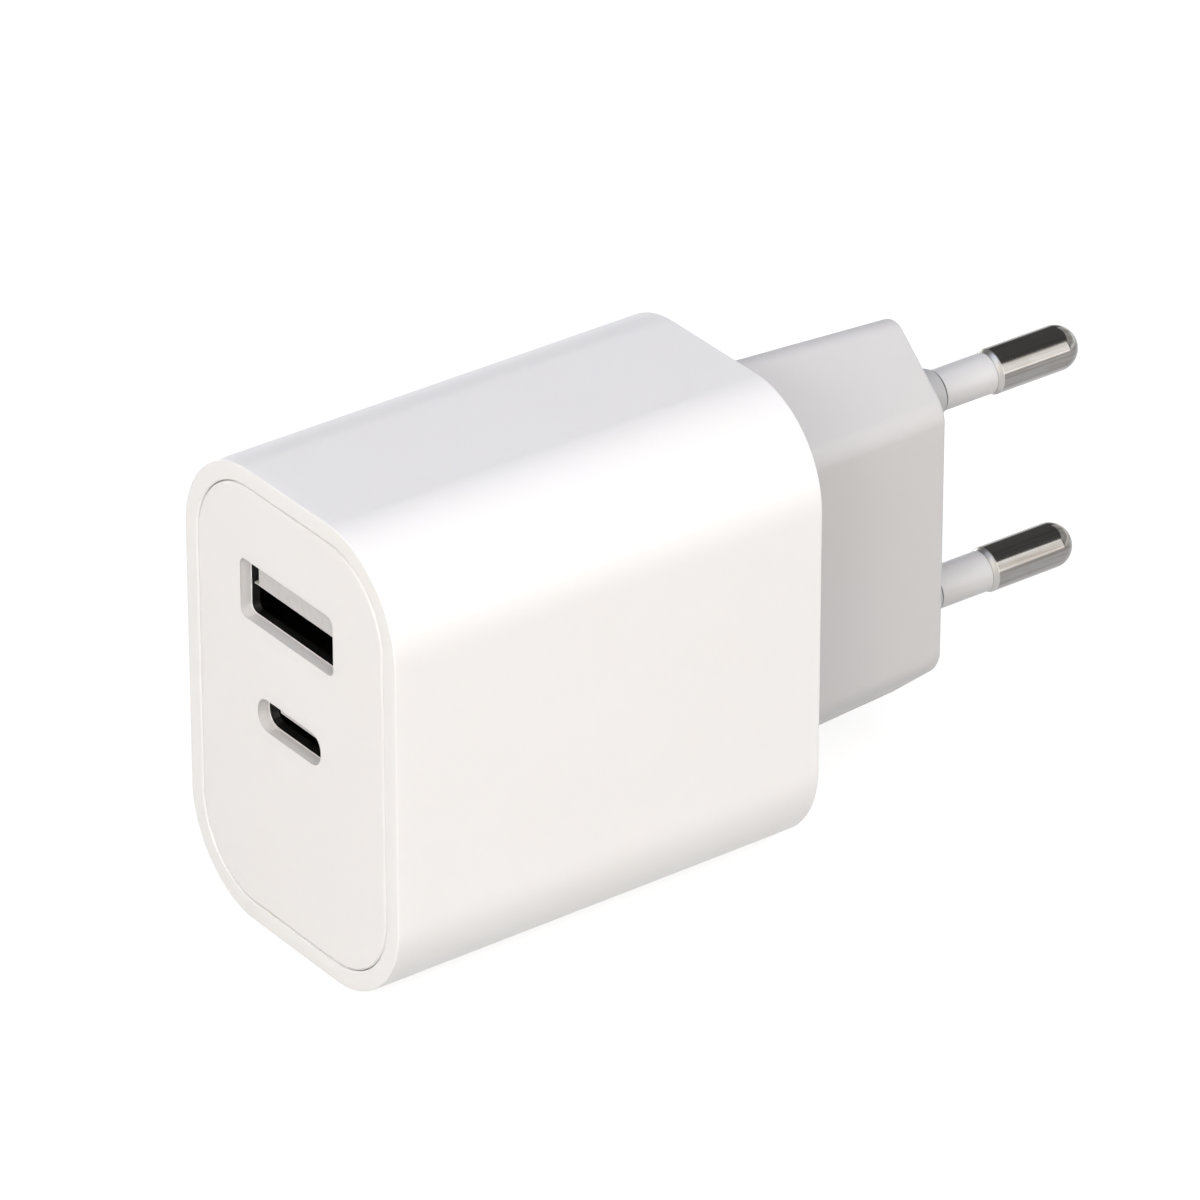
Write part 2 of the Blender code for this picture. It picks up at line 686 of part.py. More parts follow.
def spring_fingers(shell):
    """Two plug-holding fingers in the top and two in the bottom, each freed by a U-shaped slot."""
    start = SHELL_FRONT_Y + SPRING_START
    for side in (-1, 1):
        wall_z = PORT_A_Z + side * SHELL_A_HEIGHT / 2
        ends = sorted((wall_z - side * OVERRUN / 2, wall_z + side * (SHELL_WALL + OVERRUN / 2)))
        for x in (PORT_A_X - SPRING_SPACING / 2, PORT_A_X + SPRING_SPACING / 2):
            half = SPRING_WIDTH / 2
            inner = half - SPRING_SLOT
            outline = [
                (x - half, start),
                (x + half, start),
                (x + half, start + SPRING_LENGTH),
                (x + inner, start + SPRING_LENGTH),
                (x + inner, start + SPRING_SLOT),
                (x - inner, start + SPRING_SLOT),
                (x - inner, start + SPRING_LENGTH),
                (x - half, start + SPRING_LENGTH),
            ]
            cut(shell, loft("spring_slot", [across_z(outline, z) for z in ends]))


def tongue_a_face():
    """Height of the USB-A tongue's lower face."""
    return PORT_A_Z + TONGUE_A_LIFT - TONGUE_A_THICKNESS / 2


def make_usb_a(metal, insulation, contact_metal):
    shell = receptacle_shell(
        "usb_a_shell", PORT_A_X, PORT_A_Z, SHELL_A_WIDTH, SHELL_A_HEIGHT, SHELL_A_CORNER, metal
    )
    spring_fingers(shell)
    block_a = insulator(
        "usb_a_insulator",
        PORT_A_X,
        PORT_A_Z,
        (SHELL_A_WIDTH, SHELL_A_HEIGHT, SHELL_A_CORNER),
        (TONGUE_A_WIDTH, TONGUE_A_THICKNESS, TONGUE_A_CORNER),
        TONGUE_A_LIFT,
        insulation,
    )
    middle = tongue_a_face() - CONTACT_A_DROP
    front = FRONT_Y + TONGUE_SET_BACK
    end = PORT_BOARD_Y + BOARD_THICKNESS + SOLDER_TAIL
    base_y = PORT_BOARD_Y - FIT - INSULATOR_BASE
    path = [
        (front + CONTACT_A_START, middle),
        (front + CONTACT_A_START + CONTACT_A_STEP, middle - CONTACT_A_BOW),
        (front + CONTACT_A_START + 2 * CONTACT_A_STEP, middle - CONTACT_A_BOW),
        (base_y - CONTACT_A_RUN, middle),
        (end, middle),
    ]
    outline = strip_outline(path, CONTACT_A_THICKNESS)
    half = CONTACT_A_WIDTH / 2
    for number, offset in enumerate(CONTACT_A_OFFSETS, 1):
        x = PORT_A_X + offset
        rings = [across_x(outline, -half), across_x(outline, half)]
        loft(f"usb_a_contact_{number}", rings, contact_metal, (x, 0, 0))
        reach = CONTACT_A_THICKNESS / 2 + FIT
        low = (x - half - FIT, base_y - OVERRUN, middle - reach)
        high = (x + half + FIT, PORT_BOARD_Y + OVERRUN, middle + reach)
        cut(block_a, block("contact_a_slot", low, high))


def make_usb_c(metal, insulation, contact_metal):
    receptacle_shell(
        "usb_c_shell", PORT_C_X, PORT_C_Z, SHELL_C_WIDTH, SHELL_C_HEIGHT, SHELL_C_CORNER, metal
    )
    block_c = insulator(
        "usb_c_insulator",
        PORT_C_X,
        PORT_C_Z,
        (SHELL_C_WIDTH, SHELL_C_HEIGHT, SHELL_C_CORNER),
        (TONGUE_C_WIDTH, TONGUE_C_THICKNESS, TONGUE_C_CORNER),
        0.0,
        insulation,
    )
    for number, (side, offset) in enumerate(contact_c_places(), 1):
        low, high = contact_c_box(side, offset)
        block(f"usb_c_contact_{number}", low, high, contact_metal)
        room_low = [value - FIT for value in low]
        room_high = [value + FIT for value in high]
        room_high[1] = PORT_BOARD_Y + OVERRUN
        if side > 0:
            room_high[2] += FIT
        else:
            room_low[2] -= FIT
        cut(block_c, block("contact_c_slot", room_low, room_high))


def contact_c_places():
    return [(side, offset) for side in (1, -1) for offset in CONTACT_C_OFFSETS]


def contact_c_box(side, offset):
    """A flat USB-C contact, flush with the upper or the lower face of the tongue."""
    x = PORT_C_X + offset
    outer = PORT_C_Z + side * TONGUE_C_THICKNESS / 2
    inner = outer - side * CONTACT_C_THICKNESS
    low = (x - CONTACT_C_WIDTH / 2, FRONT_Y + TONGUE_SET_BACK + CONTACT_C_START, min(inner, outer))
    end = PORT_BOARD_Y + BOARD_THICKNESS + SOLDER_TAIL
    high = (x + CONTACT_C_WIDTH / 2, end, max(inner, outer))
    return low, high


# ---- Boards -------------------------------------------------------------------------------------
def board_hole(board, low, high, y):
    """A slot through an upright board, with the fit's room round what passes it."""
    room = 2 * FIT
    far = y + BOARD_THICKNESS + OVERRUN
    near = y - OVERRUN
    hole_low = (low[0] - room, near, low[1] - room)
    cut(board, block("board_hole", hole_low, (high[0] + room, far, high[1] + room)))


def upright_board(name, right_x, half_height, y, surface):
    """A board across the housing, with two tabs that enter the main board's slots."""
    middle = (BOARD_LEFT_X + right_x) / 2
    outline = rounded(rectangle(right_x - BOARD_LEFT_X, 2 * half_height), BOARD_CORNER, steps=2)
    board = loft(name, [across_y(outline, 0), across_y(outline, BOARD_THICKNESS)], surface, (middle, y, 0))
    for z in (-BOARD_TAB_Z, BOARD_TAB_Z):
        low = (MAIN_BOARD_X, y, z - BOARD_TAB / 2)
        high = (BOARD_LEFT_X + OVERRUN, y + BOARD_THICKNESS, z + BOARD_TAB / 2)
        add(board, block("board_tab", low, high))
    return board


def make_port_board(surface):
    half = cavity_half_height(PORT_BOARD_RIGHT_X) - BOARD_EDGE_GAP
    board = upright_board("port_board", PORT_BOARD_RIGHT_X, half, PORT_BOARD_Y, surface)
    middle = tongue_a_face() - CONTACT_A_DROP
    for offset in CONTACT_A_OFFSETS:
        x = PORT_A_X + offset
        low = (x - CONTACT_A_WIDTH / 2, middle - CONTACT_A_THICKNESS / 2)
        high = (x + CONTACT_A_WIDTH / 2, middle + CONTACT_A_THICKNESS / 2)
        board_hole(board, low, high, PORT_BOARD_Y)
    for side, offset in contact_c_places():
        low, high = contact_c_box(side, offset)
        board_hole(board, (low[0], low[2]), (high[0], high[2]), PORT_BOARD_Y)
    for x, z, width in ((PORT_A_X, PORT_A_Z, SHELL_A_WIDTH), (PORT_C_X, PORT_C_Z, SHELL_C_WIDTH)):
        for side in (-1, 1):
            ends = sorted((x + side * width / 2, x + side * (width / 2 + SHELL_WALL)))
            low = (ends[0], z - SOLDER_TAB_WIDTH / 2)
            high = (ends[1], z + SOLDER_TAB_WIDTH / 2)
            board_hole(board, low, high, PORT_BOARD_Y)


def make_input_board(surface):
    upright_board("input_board", INPUT_BOARD_REACH, INPUT_BOARD_HALF_HEIGHT, INPUT_BOARD_Y, surface)


def make_main_board(surface):
    half = main_board_half_height()
    rear = REAR_INNER_Y - SEAT
    outline = rounded(rectangle(rear - MAIN_FRONT_Y, 2 * half), BOARD_CORNER, steps=2)
    at = (MAIN_BOARD_X, (rear + MAIN_FRONT_Y) / 2, 0)
    board = loft("main_board", [across_x(outline, 0), across_x(outline, BOARD_THICKNESS)], surface, at)
    room = 2 * FIT
    for y in (PORT_BOARD_Y, INPUT_BOARD_Y):
        for z in (-BOARD_TAB_Z, BOARD_TAB_Z):
            low = (MAIN_BOARD_X - OVERRUN, y - room, z - BOARD_TAB / 2 - room)
            high = (MAIN_FACE_X + OVERRUN, y + BOARD_THICKNESS + room, z + BOARD_TAB / 2 + room)
            cut(board, block("tab_slot", low, high))


# ---- Transformer --------------------------------------------------------------------------------
def make_core_half(name, side, surface):
    """Half of a core with a round centre leg, a ring-shaped window and an open pair of sides."""
    joint = FIT / 2
    inner = CORE_X + side * joint
    outer = CORE_X + side * CORE_HEIGHT / 2
    low = (min(inner, outer), CORE_Y - CORE_DEPTH / 2, CORE_Z - CORE_WIDTH / 2)
    high = (max(inner, outer), CORE_Y + CORE_DEPTH / 2, CORE_Z + CORE_WIDTH / 2)
    core = block(name, low, high, surface, CORE_EDGE)
    depth = CORE_HEIGHT / 2 - CORE_BACK
    ends = sorted((-side * OVERRUN, side * depth))
    window = [
        (CORE_LEG_RADIUS, ends[0]),
        (CORE_WINDOW_RADIUS, ends[0]),
        (CORE_WINDOW_RADIUS, ends[1]),
        (CORE_LEG_RADIUS, ends[1]),
    ]
    centre = (CORE_X, CORE_Y, CORE_Z)
    tool = turned("core_window", window, COIL_STEPS, location=centre, rotation=TOWARDS_RIGHT, ring=True)
    cut(core, tool)
    for way in (-1, 1):
        near = CORE_Z + way * (CORE_LEG_RADIUS + CORE_LEG_SHOULDER)
        reach = sorted((near, CORE_Z + way * (CORE_WIDTH / 2 + OVERRUN)))
        sides = sorted((CORE_X - side * OVERRUN, CORE_X + side * depth))
        gap_low = (sides[0], CORE_Y - CORE_SIDE_OPENING / 2, reach[0])
        gap_high = (sides[1], CORE_Y + CORE_SIDE_OPENING / 2, reach[1])
        cut(core, block("core_opening", gap_low, gap_high))
    return core


def make_transformer(ferrite, bobbin_plastic, tape):
    make_core_half("transformer_core_lower", -1, ferrite)
    make_core_half("transformer_core_upper", 1, ferrite)
    centre = (CORE_X, CORE_Y, CORE_Z)
    half = CORE_HEIGHT / 2 - CORE_BACK - SEAM
    flange = CORE_WINDOW_RADIUS - SEAT
    cheek = half - BOBBIN_FLANGE
    spool = [
        (BOBBIN_BORE_RADIUS, -half),
        (flange, -half),
        (flange, -cheek),
        (BOBBIN_TUBE_RADIUS, -cheek),
        (BOBBIN_TUBE_RADIUS, cheek),
        (flange, cheek),
        (flange, half),
        (BOBBIN_BORE_RADIUS, half),
    ]
    turned("transformer_bobbin", spool, COIL_STEPS, bobbin_plastic, centre, TOWARDS_RIGHT, ring=True)
    end = cheek - 2 * FIT
    coil = [
        (WINDING_INNER, -end),
        (WINDING_OUTER - WINDING_ROUND, -end),
        (WINDING_OUTER, -end + WINDING_ROUND),
        (WINDING_OUTER, end - WINDING_ROUND),
        (WINDING_OUTER - WINDING_ROUND, end),
        (WINDING_INNER, end),
    ]
    turned("transformer_winding", coil, COIL_STEPS, tape, centre, TOWARDS_RIGHT, ring=True)


# ---- Capacitors and other wired parts -----------------------------------------------------------
def capacitor_can(name, radius, length, location, rotation, surface):
    """A drawn can with a crimped groove near its foot and rounded ends."""
    profile = [
        (0, 0),
        (radius - CAN_EDGE, 0),
        (radius, CAN_EDGE),
        (radius, CAN_GROOVE_HEIGHT - CAN_GROOVE),
        (radius - CAN_GROOVE, CAN_GROOVE_HEIGHT),
        (radius, CAN_GROOVE_HEIGHT + CAN_GROOVE),
        (radius, length - CAN_EDGE),
        (radius - CAN_EDGE, length),
        (0, length),
    ]
    return turned(name, profile, CAN_STEPS, surface, location, rotation)


def make_capacitors(can_metal, film_plastic, disc_ceramic):
    for number in (1, 2):
        y = CLUSTER_REAR_Y - BULK_RADIUS - (number - 1) * (2 * BULK_RADIUS + SEAT)
        at = (MAIN_SEAT_X, y, BULK_Z)
        capacitor_can(f"bulk_capacitor_{number}", BULK_RADIUS, BULK_LENGTH, at, TOWARDS_RIGHT, can_metal)
    away = (math.pi / 2, 0, 0)
    for number, side in ((1, -1), (2, 1)):
        at = (side * OUTPUT_X, PORT_BOARD_Y - SEAT, OUTPUT_Z)
        capacitor_can(f"output_capacitor_{number}", OUTPUT_RADIUS, OUTPUT_LENGTH, at, away, can_metal)
    low = (-X_CAPACITOR_WIDTH / 2, INPUT_BOARD_BACK_Y + SEAT, X_CAPACITOR_Z - X_CAPACITOR_HEIGHT / 2)
    high = (X_CAPACITOR_WIDTH / 2, low[1] + X_CAPACITOR_DEPTH, X_CAPACITOR_Z + X_CAPACITOR_HEIGHT / 2)
    block("x_capacitor", low, high, film_plastic, X_CAPACITOR_EDGE)
    half = Y_CAPACITOR_THICKNESS / 2
    edge = Y_CAPACITOR_EDGE
    disc = [
        (0, -half),
        (Y_CAPACITOR_RADIUS - edge, -half),
        (Y_CAPACITOR_RADIUS, -half + edge),
        (Y_CAPACITOR_RADIUS, half - edge),
        (Y_CAPACITOR_RADIUS - edge, half),
        (0, half),
    ]
    at = (Y_CAPACITOR_X, INPUT_BOARD_Y - SEAT - half, Y_CAPACITOR_Z)
    turned("y_capacitor", disc, CAN_STEPS, disc_ceramic, at, TOWARDS_PINS)


def make_choke(ferrite, copper):
    """A ring core with a winding on each side, each a sleeve that the core passes through."""
    base = INPUT_BOARD_BACK_Y + SEAT + CHOKE_WIRE + FIT
    at = (CHOKE_X, base + CHOKE_HEIGHT / 2, CHOKE_Z)
    half = CHOKE_HEIGHT / 2
    core = [(CHOKE_INNER, -half), (CHOKE_OUTER, -half), (CHOKE_OUTER, half), (CHOKE_INNER, half)]
    turned("choke_core", core, CAN_STEPS, ferrite, at, TOWARDS_PINS, ring=True)
    grow = CHOKE_WIRE + FIT
    section = [
        (CHOKE_INNER - grow, -half - grow),
        (CHOKE_OUTER + grow, -half - grow),
        (CHOKE_OUTER + grow, half + grow),
        (CHOKE_INNER - grow, half + grow),
    ]
    for name, middle in (("choke_winding_right", 0.0), ("choke_winding_left", math.pi)):
        rings = []
        for step in range(CHOKE_STEPS + 1):
            angle = middle + math.radians(CHOKE_ARC) * (step / CHOKE_STEPS - 0.5)
            rings.append([(r * math.cos(angle), r * math.sin(angle), h) for r, h in section])
        winding = loft(name, rings, copper, at, TOWARDS_PINS)
        room = [
            (CHOKE_INNER - 2 * FIT, -half - FIT),
            (CHOKE_OUTER + FIT, -half - FIT),
            (CHOKE_OUTER + FIT, half + FIT),
            (CHOKE_INNER - 2 * FIT, half + FIT),
        ]
        core_room = turned("core_room", room, 2 * CAN_STEPS, location=at, rotation=TOWARDS_PINS, ring=True)
        cut(winding, core_room)


def make_fuse(surface):
    profile = [
        (0, 0),
        (FUSE_RADIUS, 0),
        (FUSE_RADIUS, FUSE_CAP),
        (FUSE_TUBE_RADIUS, FUSE_CAP),
        (FUSE_TUBE_RADIUS, FUSE_LENGTH - FUSE_CAP),
        (FUSE_RADIUS, FUSE_LENGTH - FUSE_CAP),
        (FUSE_RADIUS, FUSE_LENGTH),
        (0, FUSE_LENGTH),
    ]
    at = (FUSE_X, INPUT_BOARD_BACK_Y + SEAT, FUSE_Z)
    turned("fuse", profile, FUSE_STEPS, surface, at, TOWARDS_PINS)


# ---- Chips --------------------------------------------------------------------------------------
def make_chips(surface):
    middle_y = (MAIN_FRONT_Y + PORT_BOARD_Y) / 2
    for name, height, length, width, z in MAIN_CHIPS:
        low = (MAIN_SEAT_X, middle_y - length / 2, z - width / 2)
        block(name, low, (low[0] + height, low[1] + length, low[2] + width), surface, CHIP_EDGE)
    left = BOARD_LEFT_X + PORT_CHIP_MARGIN
    right = PORT_BOARD_RIGHT_X - PORT_CHIP_MARGIN
    for name, side, height, length, width in PORT_CHIPS:
        x = left if side < 0 else right - length
        low = (x, PORT_BOARD_Y - SEAT - height, PORT_CHIP_Z - width / 2)
        block(name, low, (low[0] + length, low[1] + height, low[2] + width), surface, CHIP_EDGE)
    low = (BRIDGE_X - BRIDGE_WIDTH / 2, INPUT_BOARD_Y - SEAT - BRIDGE_HEIGHT, BRIDGE_Z - BRIDGE_LENGTH / 2)
    high = (low[0] + BRIDGE_WIDTH, low[1] + BRIDGE_HEIGHT, low[2] + BRIDGE_LENGTH)
    block("bridge_rectifier", low, high, surface, CHIP_EDGE)


# ---- Cooling and insulation ---------------------------------------------------------------------
def folded_sheet(name, gap, thickness, surface):
    """A sheet folded over the transformer and capacitors on three sides, open towards the board."""
    x = CLUSTER_TOP_X + SEAT + PAD_THICKNESS + gap + thickness / 2
    top = CLUSTER_TOP_Z + gap + thickness / 2
    bottom = CLUSTER_BOTTOM_Z - gap - thickness / 2
    left = MAIN_FACE_X + GUIDE_LIP + SEAT
    outline = strip_outline([(left, top), (x, top), (x, bottom), (left, bottom)], thickness)
    front = CORE_Y - CORE_DEPTH / 2
    return loft(name, [across_y(outline, front), across_y(outline, CLUSTER_REAR_Y)], surface)


def make_cooling(pad, aluminium, film):
    x = CLUSTER_TOP_X + SEAT
    low = (x, CORE_Y - CORE_DEPTH / 2 + PAD_MARGIN, CLUSTER_BOTTOM_Z + PAD_MARGIN)
    high = (x + PAD_THICKNESS, CLUSTER_REAR_Y - PAD_MARGIN, CLUSTER_TOP_Z - PAD_MARGIN)
    block("thermal_pad", low, high, pad)
    folded_sheet("heat_spreader", SEAT, SPREADER_THICKNESS, aluminium)
    folded_sheet("insulation_wrap", SEAT + SPREADER_THICKNESS + WRAP_GAP, WRAP_THICKNESS, film)


# ---- The charger --------------------------------------------------------------------------------
def make_charger():
    white = material("white_plastic", (0.86, 0.85, 0.84), 0.32)
    sleeve = material("sleeve_plastic", (0.80, 0.79, 0.79), 0.40)
    nickel = material("nickel_plate", (0.62, 0.60, 0.58), 0.18, 1.0)
    bronze = material("spring_bronze", (0.62, 0.42, 0.20), 0.30, 1.0)
    steel = material("receptacle_steel", (0.50, 0.50, 0.50), 0.30, 1.0)
    tongue = material("tongue_plastic", (0.80, 0.80, 0.79), 0.45)
    gold = material("contact_gold", (0.80, 0.58, 0.25), 0.25, 1.0)
    laminate = material("board_laminate", (0.05, 0.16, 0.08), 0.50)
    ferrite = material("ferrite", (0.06, 0.06, 0.065), 0.60)
    bobbin = material("bobbin_plastic", (0.04, 0.04, 0.04), 0.50)
    tape = material("winding_tape", (0.75, 0.55, 0.10), 0.40)
    copper = material("enamelled_copper", (0.60, 0.25, 0.10), 0.30, 1.0)
    can = material("capacitor_can", (0.55, 0.55, 0.56), 0.35, 1.0)
    film_box = material("film_capacitor_case", (0.80, 0.60, 0.08), 0.45)
    disc = material("disc_capacitor_coat", (0.08, 0.22, 0.50), 0.40)
    fuse = material("fuse_body", (0.70, 0.68, 0.62), 0.35)
    chip = material("chip_epoxy", (0.03, 0.03, 0.03), 0.55)
    pad = material("pad_silicone", (0.45, 0.50, 0.60), 0.70)
    aluminium = material("spreader_aluminium", (0.78, 0.78, 0.79), 0.35, 1.0)
    film = material("insulation_film", (0.70, 0.66, 0.50), 0.40)

    make_housing(white)
    make_face_plate(white)
    make_nose(white)
    for word, side in (("upper", 1), ("lower", -1)):
        make_pin(f"{word}_pin", side, nickel)
        make_pin_sleeve(f"{word}_pin_sleeve", side, sleeve)
        make_contact_leaf(f"{word}_contact_leaf", side, bronze)
    make_usb_a(steel, tongue, gold)
    make_usb_c(steel, tongue, gold)
    make_port_board(laminate)
    make_input_board(laminate)
    make_main_board(laminate)
    make_transformer(ferrite, bobbin, tape)
    make_capacitors(can, film_box, disc)
    make_choke(ferrite, copper)
    make_fuse(fuse)
    make_chips(chip)
    make_cooling(pad, aluminium, film)


make_charger()
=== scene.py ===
import json
import math

import bmesh
import bpy
from mathutils import Matrix, Vector


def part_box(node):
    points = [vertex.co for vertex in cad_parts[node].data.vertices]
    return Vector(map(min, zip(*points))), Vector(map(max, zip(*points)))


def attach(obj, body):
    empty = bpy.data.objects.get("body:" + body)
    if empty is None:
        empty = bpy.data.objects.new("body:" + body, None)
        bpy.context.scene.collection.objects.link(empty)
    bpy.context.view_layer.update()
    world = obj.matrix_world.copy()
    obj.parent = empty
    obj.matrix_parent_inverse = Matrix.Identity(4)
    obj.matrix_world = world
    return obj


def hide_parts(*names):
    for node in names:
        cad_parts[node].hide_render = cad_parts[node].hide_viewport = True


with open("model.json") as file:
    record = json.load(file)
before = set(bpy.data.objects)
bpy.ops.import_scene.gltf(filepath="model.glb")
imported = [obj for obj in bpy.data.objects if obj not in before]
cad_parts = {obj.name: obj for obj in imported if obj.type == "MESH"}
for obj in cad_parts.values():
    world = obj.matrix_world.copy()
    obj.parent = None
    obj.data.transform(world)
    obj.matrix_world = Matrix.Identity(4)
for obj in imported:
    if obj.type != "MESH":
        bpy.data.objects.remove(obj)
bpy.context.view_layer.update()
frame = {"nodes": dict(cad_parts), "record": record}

# ---- Places and sizes of the charger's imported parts, in metres ----------------------------------
HOUSING_LOW, HOUSING_HIGH = [Vector(corner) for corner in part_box("housing_shell")]
PLATE_LOW = Vector(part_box("face_plate")[0])
FRONT_Y = HOUSING_LOW.y
REAR_Y = HOUSING_HIGH.y
BODY_WIDTH = HOUSING_HIGH.x - HOUSING_LOW.x
BODY_HEIGHT = HOUSING_HIGH.z - HOUSING_LOW.z
BODY_CORNER = 0.0090
BODY_WALL = 0.0017
REAR_WALL = 0.0018
RIM_ROUND = 0.00011
SEAM_RIM_ROUND = 0.00022
SEAM_PLATE_ROUND = 0.00028
SEAM_GAP = 0.00006
PLATE_THICKNESS = 0.0011
SKIRT_WALL = 0.0010
SKIRT_DEPTH = 0.0050  # from the plate's front to the skirt's end
PORT_ROUND = 0.00008
PORT_DRAFT = 0.00004
PORT_A = dict(x=-0.00036, z=0.0100, width=0.01305, height=0.00552, corner=0.0008)
PORT_C = dict(x=-0.00026, z=-0.0006, width=0.00893, height=0.00315, corner=0.00145)

NOSE_BASE = dict(half_width=0.0080, apex=0.0195, shoulder=0.0125)
NOSE_END = dict(half_width=0.0070, apex=0.0182, shoulder=0.0121)
NOSE_APEX_ROUND = 0.0016
NOSE_SHOULDER_ROUND = 0.0027
NOSE_LEAST_ROUND = 0.0002
NOSE_EDGE = 0.00056
NOSE_WALL = 0.0020
NOSE_END_WALL = 0.0020
NOSE_SEAM = 0.00005  # the hairline between the nose's base and the rear wall
WINDOW_INSET = 0.00075  # from the nose's outline to the edge of the window that it is seated in
PIN_HALF_SPACING = 0.0095
COLLAR_RADIUS = 0.00215
COLLAR_LENGTH = 0.00415
COLLAR_CHAMFER = 0.00048
COLLAR_LIP = 0.00004
COLLAR_GAP = 0.00005
COLLAR_SHADE_START = 0.00002  # how far up a collar its painted shade starts, and where it is full
COLLAR_SHADE_FULL = 0.00010
JOINT_SHADOW_WIDTH = 0.00021  # the width of the painted shadow line at each collar's mouth
JOINT_SHADOW_FADE = 0.00003
PIN_RADIUS = 0.0020
PIN_TIP_Y = 0.0190
PIN_CORE_RADIUS = 0.0014
PIN_HEAD_RADIUS = 0.0023
PIN_HEAD_REAR_Y = -0.0060
PIN_HEAD_FRONT_Y = -0.0046
PIN_EDGE = 0.00010
SLEEVE_RADIUS = 0.0018
SLEEVE_START_Y = -0.0045
SLEEVE_LENGTH = 0.00955
SLEEVE_EDGE = 0.00002
SLEEVE_GAP = 0.00002
SHOULDER_LENGTH = 0.0004
SHOULDER_HIGHLIGHT_FADE_START = 0.00006  # past the shoulder's end, where the painted highlight fades
SHOULDER_HIGHLIGHT_FADE_END = 0.00018

TONGUE_BASE_DEPTH = 0.0030
TONGUE_OVERLAP = 0.0001
TONGUE_A_BASE = dict(width=0.01240, height=0.00502, corner=0.00055)
TONGUE_A_HALF_WIDTH = 0.00555
TONGUE_A_FOOT_REACH = 0.00618
TONGUE_A_FACE = -0.00012  # heights above the port's middle
TONGUE_A_FOOT_TOP = 0.00001
TONGUE_A_CROWN = 0.00148
TONGUE_A_EDGE = 0.00005
TONGUE_C_BASE = dict(width=0.00824, height=0.00246, corner=0.00122)
TONGUE_C_BLADE = dict(width=0.00669, height=0.00066, corner=0.00020)
TONGUE_C_SET_BACK = 0.00026
TONGUE_C_EDGE = 0.00010

CORNER_STEPS = 36
SMALL_CORNER_STEPS = 14
EDGE_STEPS = 5
NOSE_EDGE_STEPS = 8
TONGUE_A_EDGE_STEPS = 2
TONGUE_C_EDGE_STEPS = 3
ROUND_STEPS = 96
DOME_STEPS = 20
SHARP_ANGLE = math.radians(40.0)
SAME_POINT = 1e-7  # points closer than this become one
NO_LENGTH = 1e-8  # edges shorter than this are dropped
SAME_LEVEL = 1e-9


# ---- Mesh work ----------------------------------------------------------------------------------
def added(bm, make):
    """The edges that one step of work adds to a mesh, without the faces between them."""
    before = set(bm.edges)
    make()
    ring = [edge for edge in bm.edges if edge not in before]
    faces = {face for edge in ring for face in edge.link_faces}
    bmesh.ops.delete(bm, geom=list(faces), context="FACES_ONLY")
    return ring


def rounded_outline(bm, width, height, corner, y, x=0.0, z=0.0, steps=CORNER_STEPS):
    """A rounded rectangle of edges that stands across Y."""
    turn = Matrix.Rotation(math.pi / 2, 4, "X")
    place = Matrix.Translation((x, y, z)) @ turn @ Matrix.Diagonal((width, height, 1.0, 1.0))

    def make():
        sheet = bmesh.ops.create_grid(bm, x_segments=1, y_segments=1, size=0.5, matrix=place)
        bmesh.ops.bevel(
            bm, geom=sheet["verts"], offset=corner, offset_type="OFFSET", segments=steps,
            profile=0.5, affect="VERTICES", material=-1,
        )

    return added(bm, make)


def nose_outline(bm, size, y, inset=0.0):
    """The nose's long hexagon of edges: small rounds at its points, wide ones at its sides."""
    half, apex, shoulder = size["half_width"], size["apex"], size["shoulder"]
    slope = math.atan2(apex - shoulder, half)
    apex_inset = inset / math.cos(slope)
    shoulder_inset = inset * math.tan(math.pi / 4 - slope / 2)
    x, top, side = half - inset, apex - apex_inset, shoulder - shoulder_inset
    points = [(0, top), (x, side), (x, -side), (0, -top), (-x, -side), (-x, side)]
    apex_round = max(NOSE_APEX_ROUND - inset, NOSE_LEAST_ROUND)
    shoulder_round = max(NOSE_SHOULDER_ROUND - inset, NOSE_LEAST_ROUND)
    apex_reach = apex_round * math.tan(slope)
    shoulder_reach = shoulder_round * math.tan((math.pi / 2 - slope) / 2)

    def make():
        corners = [bm.verts.new((u, y, v)) for u, v in points]
        bm.faces.new(corners)
        for chosen, reach in (
            ((corners[0], corners[3]), apex_reach),
            ((corners[1], corners[2], corners[4], corners[5]), shoulder_reach),
        ):
            bmesh.ops.bevel(
                bm, geom=list(chosen), offset=reach, offset_type="OFFSET",
                segments=SMALL_CORNER_STEPS, profile=0.5, affect="VERTICES", material=-1,
            )

    return added(bm, make)


def circle_outline(bm, radius, y, z):
    """A circle of edges that stands across Y."""
    place = Matrix.Translation((0.0, y, z)) @ Matrix.Rotation(math.pi / 2, 4, "X")

    def make():
        bmesh.ops.create_circle(bm, segments=ROUND_STEPS, radius=radius, matrix=place)

    return added(bm, make)


def bridge(bm, *rings):
    """Walls between each ring and the next."""
    for near, far in zip(rings, rings[1:]):
        bmesh.ops.bridge_loops(bm, edges=near + far)


def fill(bm, *rings):
    """A flat face inside the first ring, open where the others lie."""
    edges = [edge for ring in rings for edge in ring]
    bmesh.ops.triangle_fill(bm, use_beauty=False, use_dissolve=True, edges=edges)


def round_edges(bm, edges, radius, steps=EDGE_STEPS):
    """The given edges rounded off."""
    bmesh.ops.bevel(
        bm, geom=edges, offset=radius, offset_type="OFFSET", segments=steps,
        profile=0.5, affect="EDGES", clamp_overlap=False, material=-1,
    )


